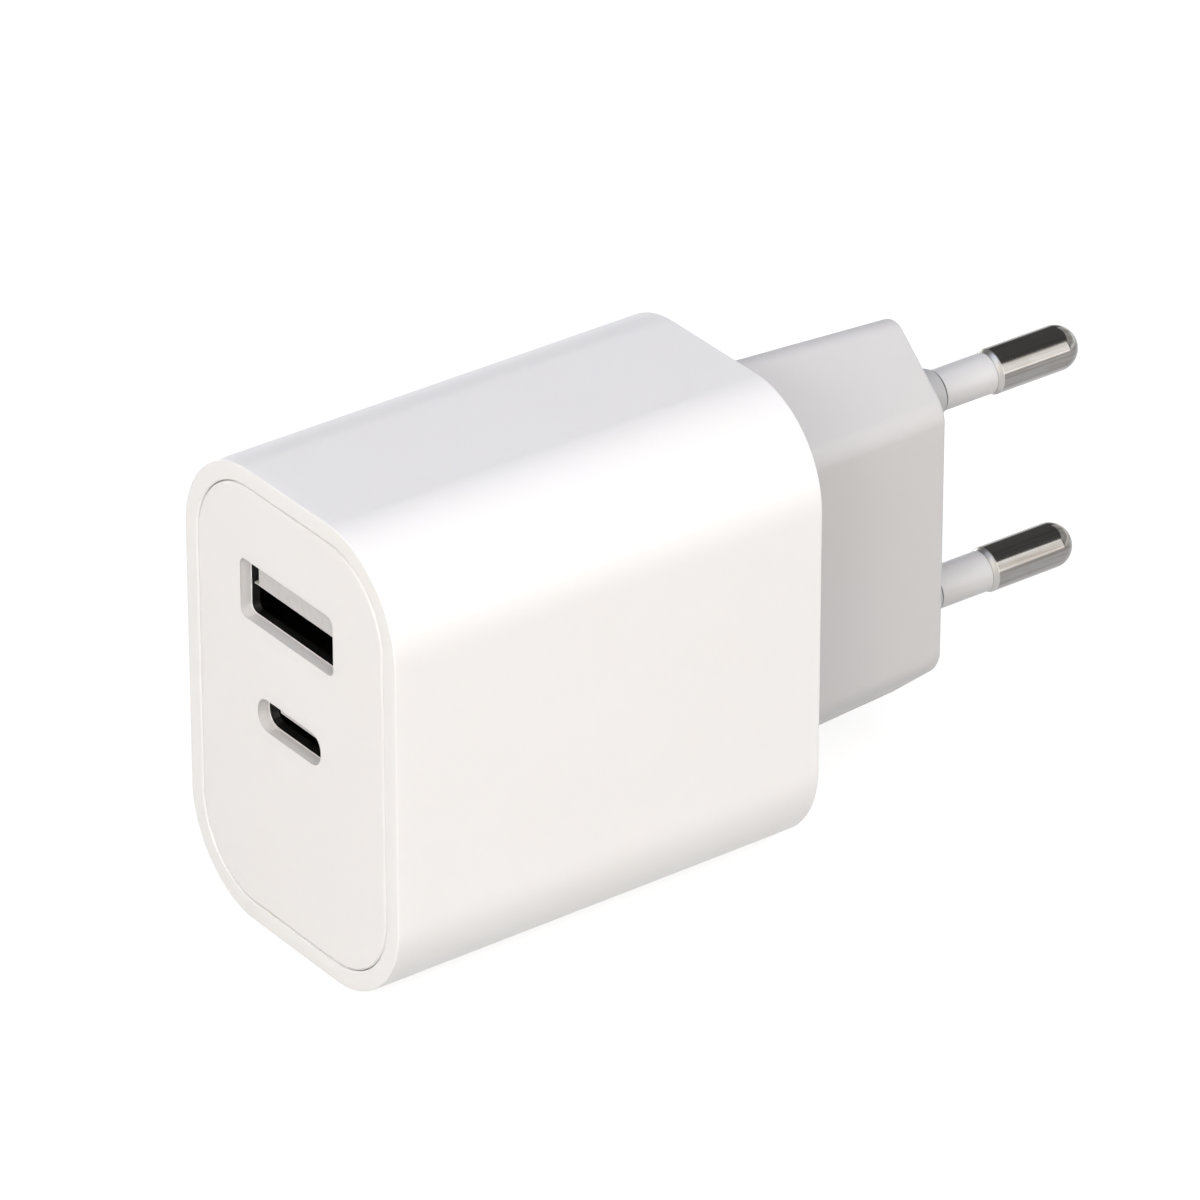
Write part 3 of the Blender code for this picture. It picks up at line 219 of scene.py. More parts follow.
def turned(bm, profile, z, rounds, closed=False):
    """A profile of (radius, y) points spun round a pin's axis. A round is (point, radius)."""
    points = [bm.verts.new((radius, y, z)) for radius, y in profile]
    pairs = list(zip(points, points[1:] + points[:1] if closed else points[1:]))
    edges = [bm.edges.new(pair) for pair in pairs]
    for number, radius in rounds:
        bmesh.ops.bevel(
            bm, geom=[points[number]], offset=radius, offset_type="OFFSET", segments=EDGE_STEPS,
            profile=0.5, affect="VERTICES", material=-1,
        )
    line = [
        edge for edge in bm.edges
        if not edge.link_faces and abs(edge.verts[0].co.z - z) < SAME_LEVEL
    ]
    geom = list({vert for edge in line for vert in edge.verts}) + line
    bmesh.ops.spin(
        bm, geom=geom, cent=(0.0, 0.0, z), axis=(0.0, 1.0, 0.0), angle=math.tau,
        steps=ROUND_STEPS, use_merge=True,
    )


def placed(name, data):
    """A new object at the origin, put into the scene."""
    made = bpy.data.objects.new(name, data)
    bpy.context.scene.collection.objects.link(made)
    return made


def piece(name, bm, finish, nodes, body="root"):
    """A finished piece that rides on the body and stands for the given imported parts."""
    bmesh.ops.remove_doubles(bm, verts=bm.verts, dist=SAME_POINT)
    bmesh.ops.dissolve_degenerate(bm, edges=bm.edges, dist=NO_LENGTH)
    bmesh.ops.recalc_face_normals(bm, faces=bm.faces)
    mesh = bpy.data.meshes.new(name)
    bm.to_mesh(mesh)
    bm.free()
    mesh.shade_smooth()
    mesh.set_sharp_from_angle(angle=SHARP_ANGLE)
    mesh.materials.append(finish)
    made = placed(name, mesh)
    even = made.modifiers.new("even_shading", "WEIGHTED_NORMAL")
    even.mode = "FACE_AREA"
    even.weight = 50
    even.keep_sharp = True
    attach(made, body)
    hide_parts(*nodes)


# ---- Nodes --------------------------------------------------------------------------------------
# The Mix node's sockets by number, since their names repeat for each type of data.
MIX_SHARE = 0
MIX_NUMBERS = (2, 3)
MIX_COLOURS = (6, 7)
MIXED_NUMBER = 0
MIXED_COLOUR = 2
WAVE_FACTOR = 20.0  # what Blender's wave texture multiplies each place by


def map_range(tree, value, low, high, to_low=0.0, to_high=1.0, curve="LINEAR"):
    """The value's run from low to high, spread from to_low to to_high."""
    span = tree.nodes.new("ShaderNodeMapRange")
    span.interpolation_type = curve
    ends = {"From Min": low, "From Max": high, "To Min": to_low, "To Max": to_high}
    for socket, end in ends.items():
        span.inputs[socket].default_value = end
    tree.links.new(value, span.inputs["Value"])
    return span.outputs["Result"]


def reckoned(tree, operation, first, second):
    """The outcome of a sum on two values."""
    node = tree.nodes.new("ShaderNodeMath")
    node.operation = operation
    tree.links.new(first, node.inputs[0])
    tree.links.new(second, node.inputs[1])
    return node.outputs[0]


def seen_rays(tree):
    """One for rays that are seen straight, mirrored or through glass, and nought for others."""
    path = tree.nodes.new("ShaderNodeLightPath")
    total = path.outputs["Is Camera Ray"]
    for ray in ("Is Glossy Ray", "Is Transmission Ray"):
        total = reckoned(tree, "MAXIMUM", total, path.outputs[ray])
    return total


# ---- Finishes -----------------------------------------------------------------------------------
class Finish:
    """A material in the making, with its shader and the ends of its colour and bump chains."""

    def __init__(self, name, colour, roughness, **sockets):
        self.material = bpy.data.materials.new(name)
        self.material.use_nodes = True
        self.tree = self.material.node_tree
        self.shader = self.tree.nodes["Principled BSDF"]
        self.place = self.tree.nodes.new("ShaderNodeTexCoord").outputs["Object"]
        self.colour = None
        self.relief = None
        self.shader.inputs["Base Color"].default_value = (*colour, 1.0)
        self.shader.inputs["Roughness"].default_value = roughness
        for socket, value in sockets.items():
            self.shader.inputs[socket.replace("_", " ")].default_value = value

    def node(self, kind, **values):
        """A new node. Each value is a setting of it, or else a socket that has that name."""
        made = self.tree.nodes.new(kind)
        for key, value in values.items():
            if hasattr(made, key):
                setattr(made, key, value)
            else:
                made.inputs[key.replace("_", " ")].default_value = value
        return made

    def join(self, source, node, socket):
        self.tree.links.new(source, node.inputs[socket])

    def stretched(self, scale=(1.0, 1.0, 1.0)):
        """The place on the piece, with each axis scaled."""
        mapping = self.node("ShaderNodeMapping")
        mapping.inputs["Scale"].default_value = scale
        self.join(self.place, mapping, "Vector")
        return mapping.outputs["Vector"]

    def clouds(self, scale, detail=2.0, roughness=0.5, stretch=(1.0, 1.0, 1.0)):
        """Soft noise; scale is in patches for each metre."""
        noise = self.node("ShaderNodeTexNoise", Scale=scale, Detail=detail, Roughness=roughness)
        self.join(self.stretched(stretch), noise, "Vector")
        return noise.outputs["Fac"]

    def grains(self, scale, distance="EUCLIDEAN"):
        """The distance from the middle of each of many small cells."""
        cells = self.node("ShaderNodeTexVoronoi", Scale=scale, distance=distance)
        self.join(self.stretched(), cells, "Vector")
        return cells.outputs["Distance"]

    def bands(self, scale, axis, waver):
        """Even ridges across the axis, with a little waver; scale is in ridges for each metre."""
        wave = self.node(
            "ShaderNodeTexWave", bands_direction=axis, wave_profile="SIN",
            Scale=scale * math.tau / WAVE_FACTOR, Distortion=waver,
        )
        self.join(self.stretched(), wave, "Vector")
        return wave.outputs["Fac"]

    def depth(self):
        """How far each point lies along the pins' direction, in metres from the nose's end."""
        parts = self.node("ShaderNodeSeparateXYZ")
        self.join(self.place, parts, "Vector")
        return parts.outputs["Y"]

    def tint(self, pattern, colour, low=0.0, high=1.0, most=1.0):
        """The colour laid over what is there, as the pattern goes from low to high."""
        mix = self.node("ShaderNodeMix", data_type="RGBA")
        under, over = MIX_COLOURS
        if self.colour is None:
            mix.inputs[under].default_value = self.shader.inputs["Base Color"].default_value
        else:
            self.join(self.colour, mix, under)
        mix.inputs[over].default_value = (*colour, 1.0)
        self.join(map_range(self.tree, pattern, low, high, 0.0, most), mix, MIX_SHARE)
        self.colour = mix.outputs[MIXED_COLOUR]
        self.join(self.colour, self.shader, "Base Color")

    def gloss(self, pattern, low, high, smooth, rough):
        """Roughness that goes from smooth to rough as the pattern goes from low to high."""
        spread = map_range(self.tree, pattern, low, high, smooth, rough)
        self.join(spread, self.shader, "Roughness")

    def raised(self, pattern, height, strength=1.0):
        """Relief of the given height in metres, added to what is there."""
        bump = self.node("ShaderNodeBump")
        bump.inputs["Strength"].default_value = strength
        bump.inputs["Distance"].default_value = height
        self.join(pattern, bump, "Height")
        if self.relief is not None:
            self.join(self.relief, bump, "Normal")
        self.relief = bump.outputs["Normal"]
        self.join(self.relief, self.shader, "Normal")


def moulded_white(name, colour, roughness=0.30, collar=None, joint_shadow=None):
    """White moulded plastic: satin, with the fine grain of a spark-cut mould and a soft ripple.

    The nose's collars may be darkened as painted shade, with a painted shadow line round each mouth
    where the sleeve leaves it.
    """
    finish = Finish(
        name, colour, roughness, IOR=1.5, Subsurface_Weight=0.25, Subsurface_Scale=0.0010,
    )
    finish.shader.inputs["Subsurface Radius"].default_value = (1.0, 0.9, 0.8)
    warmer = [channel * share for channel, share in zip(colour, (1.0, 0.985, 0.965))]
    finish.tint(finish.clouds(90.0, 3.0), warmer, 0.35, 0.7, 0.5)
    finish.gloss(finish.clouds(240.0, 4.0, 0.6), 0.3, 0.7, roughness - 0.015, roughness + 0.03)
    finish.raised(finish.clouds(6000.0, 2.0, 0.6), 0.00000025)
    finish.raised(finish.clouds(300.0, 1.0), 0.0000020)
    if collar is not None:
        shadow_line_y = COLLAR_LENGTH - JOINT_SHADOW_WIDTH
        # Painted shade: the collars are darkened, and a near-black painted shadow line rings each
        # mouth.
        finish.tint(finish.depth(), collar, COLLAR_SHADE_START, COLLAR_SHADE_FULL)
        finish.tint(finish.depth(), joint_shadow, shadow_line_y, shadow_line_y + JOINT_SHADOW_FADE)
    return finish.material


def nickel_plate():
    """Bright plate over turned brass: faint rings round it, marks along it and a dull shoulder. Its
    colour is darkened as painted shade for the dim things it mirrors, and the shoulder is painted
    paler as a painted highlight.
    """
    # The dark base colour is painted shade, so that the plate mirrors its surroundings dimly.
    finish = Finish("nickel_plate", (0.275, 0.267, 0.257), 0.11, Metallic=1.0)
    rings = finish.clouds(150.0, 3.0, 0.7, stretch=(1.0, 70.0, 1.0))
    marks = finish.clouds(2200.0, 3.0, 0.6, stretch=(1.0, 0.02, 1.0))
    finish.tint(finish.clouds(700.0, 3.0), (0.245, 0.233, 0.218), 0.45, 0.75, 0.6)
    finish.tint(marks, (0.160, 0.143, 0.127), 0.45, 0.66, 0.8)
    shoulder_end = SLEEVE_LENGTH + SLEEVE_GAP + SHOULDER_LENGTH
    highlight_fade_start, highlight_fade_end = shoulder_end + SHOULDER_HIGHLIGHT_FADE_START, shoulder_end + SHOULDER_HIGHLIGHT_FADE_END
    shoulder = map_range(finish.tree, finish.depth(), highlight_fade_end, highlight_fade_start)
    # Painted highlight: the shoulder is painted paler than the plate.
    finish.tint(shoulder, (0.45, 0.44, 0.42))
    gloss = finish.node("ShaderNodeMix", data_type="FLOAT")
    polished, dull = MIX_NUMBERS
    finish.join(shoulder, gloss, MIX_SHARE)
    finish.join(map_range(finish.tree, marks, 0.35, 0.75, 0.08, 0.17), gloss, polished)
    gloss.inputs[dull].default_value = 0.42
    finish.join(gloss.outputs[MIXED_NUMBER], finish.shader, "Roughness")
    finish.raised(rings, 0.0000006)
    return finish.material


def shaded_port_steel():
    """Drawn sheet steel, near-black as painted shade for the dark insides of the ports, with fine
    draw lines that run inwards.
    """
    # The near-black colour is painted shade for the dark insides of the ports.
    finish = Finish("shaded_port_steel", (0.016, 0.0155, 0.015), 0.34, Metallic=1.0)
    lines = finish.clouds(9000.0, 3.0, 0.6, stretch=(1.0, 0.02, 1.0))
    finish.tint(finish.clouds(1200.0, 3.0), (0.011, 0.0105, 0.010), 0.4, 0.7, 0.7)
    finish.gloss(lines, 0.3, 0.7, 0.29, 0.40)
    finish.raised(lines, 0.0000008)
    return finish.material


def shaded_port_plastic():
    """Heat-proof white connector plastic with the flow streaks of a thin moulding, greyed as painted
    shade for its place deep in the ports.
    """
    # The grey base is painted shade: the tongues are white plastic lying deep in the ports.
    finish = Finish("shaded_port_plastic", (0.62, 0.615, 0.61), 0.45, IOR=1.5)
    flow = finish.clouds(1500.0, 3.0, 0.6, stretch=(1.0, 0.12, 1.0))
    finish.tint(flow, (0.58, 0.57, 0.555), 0.4, 0.7, 0.8)
    finish.gloss(flow, 0.3, 0.7, 0.40, 0.52)
    finish.raised(finish.clouds(22000.0, 2.0), 0.0000014)
    return finish.material


def contact_gold():
    """Thin gold over nickel, worn paler where plugs rub."""
    finish = Finish("contact_gold", (0.83, 0.62, 0.28), 0.22, Metallic=1.0)
    rubs = finish.clouds(6000.0, 3.0, 0.6, stretch=(1.0, 0.05, 1.0))
    finish.tint(rubs, (0.72, 0.62, 0.42), 0.55, 0.8, 0.7)
    finish.gloss(rubs, 0.3, 0.7, 0.15, 0.26)
    finish.raised(rubs, 0.0000006)
    return finish.material


def spring_bronze():
    """Rolled phosphor bronze strip with brown tarnish in patches."""
    finish = Finish("spring_bronze", (0.72, 0.50, 0.27), 0.32, Metallic=1.0)
    rolled = finish.clouds(5000.0, 3.0, 0.6, stretch=(1.0, 0.04, 0.3))
    finish.tint(finish.clouds(600.0, 4.0, 0.6), (0.42, 0.25, 0.13), 0.5, 0.75, 0.7)
    finish.gloss(rolled, 0.3, 0.7, 0.29, 0.44)
    finish.raised(rolled, 0.0000010)
    return finish.material


def board_laminate():
    """Glass-weave laminate under green solder mask, with brighter copper runs beneath it."""
    finish = Finish("board_laminate", (0.035, 0.155, 0.070), 0.34, IOR=1.55)
    runs = finish.grains(420.0, distance="CHEBYCHEV")
    finish.tint(runs, (0.075, 0.27, 0.115), 0.34, 0.37)
    finish.tint(finish.clouds(250.0, 2.0), (0.025, 0.115, 0.055), 0.45, 0.7, 0.6)
    weave = finish.clouds(1400.0, 1.0, stretch=(1.0, 0.25, 1.0))
    finish.gloss(weave, 0.3, 0.7, 0.28, 0.42)
    finish.raised(weave, 0.0000030)
    finish.raised(runs, 0.0000200, 0.4)
    return finish.material


def ferrite():
    """Ground ferrite: dark and dry, with paler grain and small chips."""
    finish = Finish("ground_ferrite", (0.060, 0.060, 0.064), 0.62)
    finish.tint(finish.grains(5200.0), (0.115, 0.113, 0.118), 0.45, 0.7, 0.8)
    finish.tint(finish.clouds(900.0, 4.0, 0.7), (0.035, 0.034, 0.036), 0.5, 0.7)
    finish.gloss(finish.clouds(1800.0, 4.0), 0.3, 0.7, 0.50, 0.72)
    finish.raised(finish.clouds(5200.0, 4.0, 0.7), 0.0000090)
    return finish.material


def bobbin_plastic():
    """Near-black phenolic with soft flow marks."""
    finish = Finish("bobbin_phenolic", (0.030, 0.029, 0.028), 0.46)
    flow = finish.clouds(800.0, 4.0, 0.6, stretch=(0.2, 1.0, 1.0))
    finish.tint(flow, (0.052, 0.049, 0.046), 0.4, 0.75)
    finish.gloss(flow, 0.3, 0.7, 0.38, 0.55)
    finish.raised(finish.clouds(12000.0, 2.0), 0.0000030)
    return finish.material


def winding_tape():
    """Yellow polyester tape, laid in turns whose edges show as fine steps."""
    finish = Finish("winding_tape", (0.80, 0.57, 0.10), 0.24, IOR=1.6)
    finish.tint(finish.clouds(500.0, 3.0), (0.66, 0.41, 0.06), 0.45, 0.75, 0.8)
    turns = finish.bands(1250.0, "X", 1.2)
    finish.gloss(finish.clouds(1600.0, 3.0), 0.3, 0.7, 0.29, 0.40)
    finish.raised(turns, 0.0000300, 0.6)
    finish.raised(finish.clouds(1300.0, 3.0, 0.6), 0.0000120)
    return finish.material


def enamelled_wire():
    """Copper wire under clear red-brown enamel, wound turn beside turn."""
    finish = Finish(
        "enamelled_wire", (0.58, 0.22, 0.085), 0.26,
        Metallic=1.0, Coat_Weight=0.6, Coat_Roughness=0.1,
    )
    turns = finish.bands(1650.0, "Z", 0.6)
    finish.tint(turns, (0.30, 0.085, 0.030), 0.0, 0.45, 0.8)
    finish.tint(finish.clouds(700.0, 3.0), (0.68, 0.31, 0.13), 0.5, 0.75, 0.7)
    finish.gloss(finish.clouds(2500.0, 2.0), 0.3, 0.7, 0.29, 0.38)
    finish.raised(turns, 0.0001200, 0.7)
    return finish.material


def capacitor_can():
    """Deep-drawn aluminium with fine draw rings and a dull oxide bloom."""
    finish = Finish("capacitor_can", (0.62, 0.62, 0.63), 0.34, Metallic=1.0)
    drawn = finish.clouds(160.0, 4.0, 0.7, stretch=(50.0, 1.0, 1.0))
    finish.tint(finish.clouds(420.0, 4.0), (0.50, 0.51, 0.53), 0.45, 0.75, 0.8)
    finish.gloss(drawn, 0.3, 0.7, 0.29, 0.44)
    finish.raised(drawn, 0.0000016)
    return finish.material


def film_case():
    """Yellow moulded capacitor case with a coarse moulded grain."""
    finish = Finish("film_case", (0.74, 0.50, 0.055), 0.45)
    finish.tint(finish.clouds(600.0, 3.0), (0.64, 0.40, 0.035), 0.4, 0.75, 0.8)
    finish.gloss(finish.clouds(3000.0, 3.0), 0.3, 0.7, 0.38, 0.54)
    finish.raised(finish.grains(6500.0), 0.0000060)
    return finish.material


def dipped_coat():
    """Blue dipped coating, pooled thicker and darker in soft waves."""
    finish = Finish("dipped_coat", (0.055, 0.20, 0.50), 0.25, IOR=1.55)
    pools = finish.clouds(520.0, 3.0, 0.6)
    finish.tint(pools, (0.030, 0.12, 0.36), 0.4, 0.7)
    finish.gloss(pools, 0.3, 0.7, 0.17, 0.26)
    finish.raised(pools, 0.0000600, 0.6)
    return finish.material


def fuse_tube():
    """Off-white glazed ceramic with tiny dark specks."""
    finish = Finish("fuse_ceramic", (0.76, 0.735, 0.67), 0.30)
    finish.tint(finish.grains(2600.0), (0.40, 0.36, 0.30), 0.12, 0.04, 0.8)
    finish.gloss(finish.clouds(1100.0, 3.0), 0.3, 0.7, 0.29, 0.42)
    finish.raised(finish.clouds(900.0, 2.0), 0.0000080)
    return finish.material


def chip_epoxy():
    """Matt black moulded epoxy with grey filler grain."""
    finish = Finish("chip_epoxy", (0.022, 0.022, 0.023), 0.62)
    finish.tint(finish.grains(9000.0), (0.055, 0.055, 0.056), 0.25, 0.1)
    finish.gloss(finish.clouds(2500.0, 3.0), 0.3, 0.7, 0.55, 0.72)
    finish.raised(finish.clouds(14000.0, 3.0, 0.7), 0.0000040)
    return finish.material


def pad_silicone():
    """Soft gap pad: dull blue-grey, with pores and filler."""
    finish = Finish("pad_silicone", (0.36, 0.42, 0.53), 0.78)
    finish.tint(finish.clouds(1600.0, 4.0, 0.7), (0.45, 0.50, 0.59), 0.4, 0.7, 0.8)
    finish.gloss(finish.clouds(3500.0, 3.0), 0.3, 0.7, 0.70, 0.88)
    finish.raised(finish.grains(3200.0), 0.0000250)
    return finish.material


def spreader_sheet():
    """Rolled aluminium sheet with straight mill lines."""
    finish = Finish("spreader_sheet", (0.78, 0.78, 0.79), 0.32, Metallic=1.0)
    mill = finish.clouds(7000.0, 4.0, 0.7, stretch=(1.0, 0.015, 1.0))
    finish.tint(finish.clouds(300.0, 3.0), (0.66, 0.67, 0.69), 0.45, 0.75, 0.7)
    finish.gloss(mill, 0.3, 0.7, 0.29, 0.42)
    finish.raised(mill, 0.0000012)
    return finish.material


def insulation_film():
    """Thin amber polyester film, a little creased where it is folded round the works."""
    finish = Finish("insulation_film", (0.66, 0.56, 0.33), 0.20, IOR=1.6)
    finish.tint(finish.clouds(260.0, 3.0), (0.58, 0.46, 0.24), 0.4, 0.75, 0.8)
    finish.gloss(finish.clouds(1900.0, 3.0), 0.3, 0.7, 0.14, 0.26)
    finish.raised(finish.clouds(380.0, 4.0, 0.65), 0.0000700, 0.6)
    return finish.material


FINISHES = {
    "housing_white": moulded_white("housing_white_plastic", (0.87, 0.865, 0.855)),
    "face_plate_white": moulded_white("plate_white_plastic", (0.86, 0.85, 0.84)),
    # The nose's white is greyer than the housing's as painted shade, for the shade it sits in behind
    # the body.
    "nose_white": moulded_white(
        "nose_white_painted_shade", (0.632, 0.626, 0.622), 0.42,
        # The collars' darker grey is painted shade, and the near-black ring at each mouth is a
        # painted shadow.
        collar=(0.510, 0.504, 0.500), joint_shadow=(0.07, 0.07, 0.07),
    ),
    # The sleeves' white is greyer than the housing's as painted shade.
    "sleeve_white": moulded_white("sleeve_nylon_painted_shade", (0.690, 0.684, 0.678), 0.36),
    "pin_nickel": nickel_plate(),
    "spring_bronze": spring_bronze(),
    "port_shell_steel": shaded_port_steel(),
    "tongue_plastic": shaded_port_plastic(),
    "contact_gold": contact_gold(),
    "board_laminate": board_laminate(),
    "ferrite_core": ferrite(),
    "bobbin_black": bobbin_plastic(),
    "winding_tape": winding_tape(),
    "enamelled_copper": enamelled_wire(),
    "capacitor_can": capacitor_can(),
    "film_case": film_case(),
    "disc_coat": dipped_coat(),
    "fuse_ceramic": fuse_tube(),
    "chip_epoxy": chip_epoxy(),
    "pad_silicone": pad_silicone(),
    "spreader_aluminium": spreader_sheet(),
    "insulation_film": insulation_film(),
}


# ---- Housing and face plate ---------------------------------------------------------------------
def body_ring(bm, inset, y):
    """The body's outline, drawn in by the inset."""
    width, height = BODY_WIDTH - 2 * inset, BODY_HEIGHT - 2 * inset
    return rounded_outline(bm, width, height, BODY_CORNER - inset, y)


def make_housing():
    """The sleeve of the body, with a rear wall that has a window for the nose."""
    bm = bmesh.new()
    rear_inner = REAR_Y - REAR_WALL
    outer_rear = body_ring(bm, 0.0, REAR_Y)
    outer_front = body_ring(bm, 0.0, FRONT_Y)
    inner_front = body_ring(bm, BODY_WALL, FRONT_Y)
    inner_rear = body_ring(bm, BODY_WALL, rear_inner)
    window_rear = nose_outline(bm, NOSE_BASE, REAR_Y, WINDOW_INSET)
    window_inner = nose_outline(bm, NOSE_BASE, rear_inner, WINDOW_INSET)
    bridge(bm, outer_rear, outer_front, inner_front, inner_rear)
    bridge(bm, window_rear, window_inner)
    fill(bm, outer_rear, window_rear)
    fill(bm, inner_rear, window_inner)
    round_edges(bm, outer_front, RIM_ROUND)
    round_edges(bm, outer_rear, RIM_ROUND)
    round_edges(bm, inner_front, SEAM_RIM_ROUND)
    piece("moulded_housing", bm, FINISHES["housing_white"], ["housing_shell"])


def make_face_plate():
    """The front plate with its two port openings and the skirt behind it."""
    bm = bmesh.new()
    inset = BODY_WALL + SEAM_GAP
    back_y = FRONT_Y + PLATE_THICKNESS
    skirt_y = PLATE_LOW.y + SKIRT_DEPTH
    front = body_ring(bm, inset, FRONT_Y)
    skirt_outer = body_ring(bm, inset, skirt_y)
    skirt_inner = body_ring(bm, inset + SKIRT_WALL, skirt_y)
    back = body_ring(bm, inset + SKIRT_WALL, back_y)
    openings = []
    for port in (PORT_A, PORT_C):
        openings.append([
            rounded_outline(
                bm, port["width"] - 2 * draft, port["height"] - 2 * draft, port["corner"] - draft,
                y, port["x"], port["z"], SMALL_CORNER_STEPS,
            )
            for y, draft in ((FRONT_Y, 0.0), (back_y, PORT_DRAFT))
        ])
    bridge(bm, front, skirt_outer, skirt_inner, back)
    for near, far in openings:
        bridge(bm, near, far)
    fill(bm, front, *[near for near, far in openings])
    fill(bm, back, *[far for near, far in openings])
    round_edges(bm, front, SEAM_PLATE_ROUND)
    for near, far in openings:
        round_edges(bm, near, PORT_ROUND)
        round_edges(bm, far, PORT_ROUND)
    white = FINISHES["face_plate_white"]
    piece("moulded_face_plate", bm, white, ["face_plate"])


# ---- Nose, sleeves and pins ---------------------------------------------------------------------
def make_nose():
    """The hollow tapered nose, with a collar round each pin."""
    bm = bmesh.new()
    base = nose_outline(bm, NOSE_BASE, REAR_Y + NOSE_SEAM)
    end = nose_outline(bm, NOSE_END, 0.0)
    inner_base = nose_outline(bm, NOSE_BASE, REAR_Y + NOSE_SEAM, NOSE_WALL)
    inner_end = nose_outline(bm, NOSE_END, -NOSE_END_WALL, NOSE_WALL)
    heights = (-PIN_HALF_SPACING, PIN_HALF_SPACING)
    bore_radius = SLEEVE_RADIUS + COLLAR_GAP
    feet = [circle_outline(bm, COLLAR_RADIUS, 0.0, z) for z in heights]
    bores = [circle_outline(bm, bore_radius, -NOSE_END_WALL, z) for z in heights]
    bridge(bm, inner_end, inner_base, base, end)
    fill(bm, end, *feet)
    fill(bm, inner_end, *bores)
    for z, foot, bore in zip(heights, feet, bores):
        shoulder = circle_outline(bm, COLLAR_RADIUS, COLLAR_LENGTH - COLLAR_CHAMFER, z)
        lip = circle_outline(bm, bore_radius + COLLAR_LIP, COLLAR_LENGTH, z)
        mouth = circle_outline(bm, bore_radius, COLLAR_LENGTH - COLLAR_LIP, z)
        bridge(bm, foot, shoulder, lip, mouth, bore)
    round_edges(bm, end, NOSE_EDGE, NOSE_EDGE_STEPS)
    piece("moulded_nose", bm, FINISHES["nose_white"], ["plug_nose"])


def make_pins():
    """Two turned pins, each with a head, a core, a coned shoulder, a domed end and a sleeve."""
    shoulder_y = SLEEVE_LENGTH + SLEEVE_GAP
    dome_y = PIN_TIP_Y - PIN_RADIUS
    dome = [math.pi / 2 * step / DOME_STEPS for step in range(DOME_STEPS)]
    for side, word in ((1, "upper"), (-1, "lower")):
        z = side * PIN_HALF_SPACING
        bm = bmesh.new()
        profile = [
            (0.0, PIN_HEAD_REAR_Y), (PIN_HEAD_RADIUS, PIN_HEAD_REAR_Y),
            (PIN_HEAD_RADIUS, PIN_HEAD_FRONT_Y), (PIN_CORE_RADIUS, PIN_HEAD_FRONT_Y),
            (PIN_CORE_RADIUS, shoulder_y), (SLEEVE_RADIUS, shoulder_y),
            (PIN_RADIUS, shoulder_y + SHOULDER_LENGTH),
        ]
        profile += [
            (PIN_RADIUS * math.cos(turn), dome_y + PIN_RADIUS * math.sin(turn)) for turn in dome
        ]
        turned(bm, profile + [(0.0, PIN_TIP_Y)], z, rounds=((5, SLEEVE_EDGE), (6, PIN_EDGE)))
        piece(f"{word}_prong", bm, FINISHES["pin_nickel"], [f"{word}_pin"])

        bm = bmesh.new()
        profile = [
            (PIN_CORE_RADIUS, SLEEVE_START_Y), (SLEEVE_RADIUS, SLEEVE_START_Y),
            (SLEEVE_RADIUS, SLEEVE_LENGTH), (PIN_CORE_RADIUS, SLEEVE_LENGTH),
        ]
        turned(bm, profile, z, rounds=((2, SLEEVE_EDGE),), closed=True)
        sleeve = FINISHES["sleeve_white"]
        piece(f"{word}_prong_sleeve", bm, sleeve, [f"{word}_pin_sleeve"])


# ---- Tongues inside the ports -------------------------------------------------------------------
def rounded_block(bm, outline, port, near_y, far_y):
    """A closed block with rounded corners, in line with a port. It gives its outline at near_y."""
    size = outline["width"], outline["height"], outline["corner"]
    near, far = [
        rounded_outline(bm, *size, y, port["x"], port["z"], SMALL_CORNER_STEPS)
        for y in (near_y, far_y)
    ]
    bridge(bm, near, far)
    fill(bm, near)
    fill(bm, far)
    return near


def make_tongue_a():
    """A flat tongue with a thin foot that runs on under it to the shell's wall."""
    low, high = [Vector(corner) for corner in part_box("usb_a_insulator")]
    x, z = PORT_A["x"], PORT_A["z"]
    bm = bmesh.new()
    rounded_block(bm, TONGUE_A_BASE, PORT_A, high.y, high.y - TONGUE_BASE_DEPTH)
    face, crown, foot = z + TONGUE_A_FACE, z + TONGUE_A_CROWN, z + TONGUE_A_FOOT_TOP
    left, right = x - TONGUE_A_HALF_WIDTH, x + TONGUE_A_HALF_WIDTH
    shell = x - TONGUE_A_FOOT_REACH
    outline = [
        (shell, face), (right, face), (right, crown), (left, crown), (left, foot), (shell, foot),
    ]
    front = bm.faces.new([bm.verts.new((u, low.y, v)) for u, v in outline])
    edges = list(front.edges)
    run = bmesh.ops.extrude_face_region(bm, geom=[front])["geom"]
    far = [item for item in run if isinstance(item, bmesh.types.BMVert)]
    root_y = high.y - TONGUE_BASE_DEPTH + TONGUE_OVERLAP
    bmesh.ops.translate(bm, verts=far, vec=(0.0, root_y - low.y, 0.0))
    bmesh.ops.contextual_create(bm, geom=edges)
    round_edges(bm, edges, TONGUE_A_EDGE, TONGUE_A_EDGE_STEPS)
    piece("usb_a_tongue", bm, FINISHES["tongue_plastic"], ["usb_a_insulator"])


def make_tongue_c():
    """A thin blade in the middle of its port."""
    low, high = [Vector(corner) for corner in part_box("usb_c_insulator")]
    bm = bmesh.new()
    rounded_block(bm, TONGUE_C_BASE, PORT_C, high.y, high.y - TONGUE_BASE_DEPTH)
    root_y = high.y - TONGUE_BASE_DEPTH + TONGUE_OVERLAP
    tip = rounded_block(bm, TONGUE_C_BLADE, PORT_C, low.y + TONGUE_C_SET_BACK, root_y)
    round_edges(bm, tip, TONGUE_C_EDGE, TONGUE_C_EDGE_STEPS)
    piece("usb_c_tongue", bm, FINISHES["tongue_plastic"], ["usb_c_insulator"])


make_housing()
make_face_plate()
make_tongue_a()
make_tongue_c()
make_nose()
make_pins()

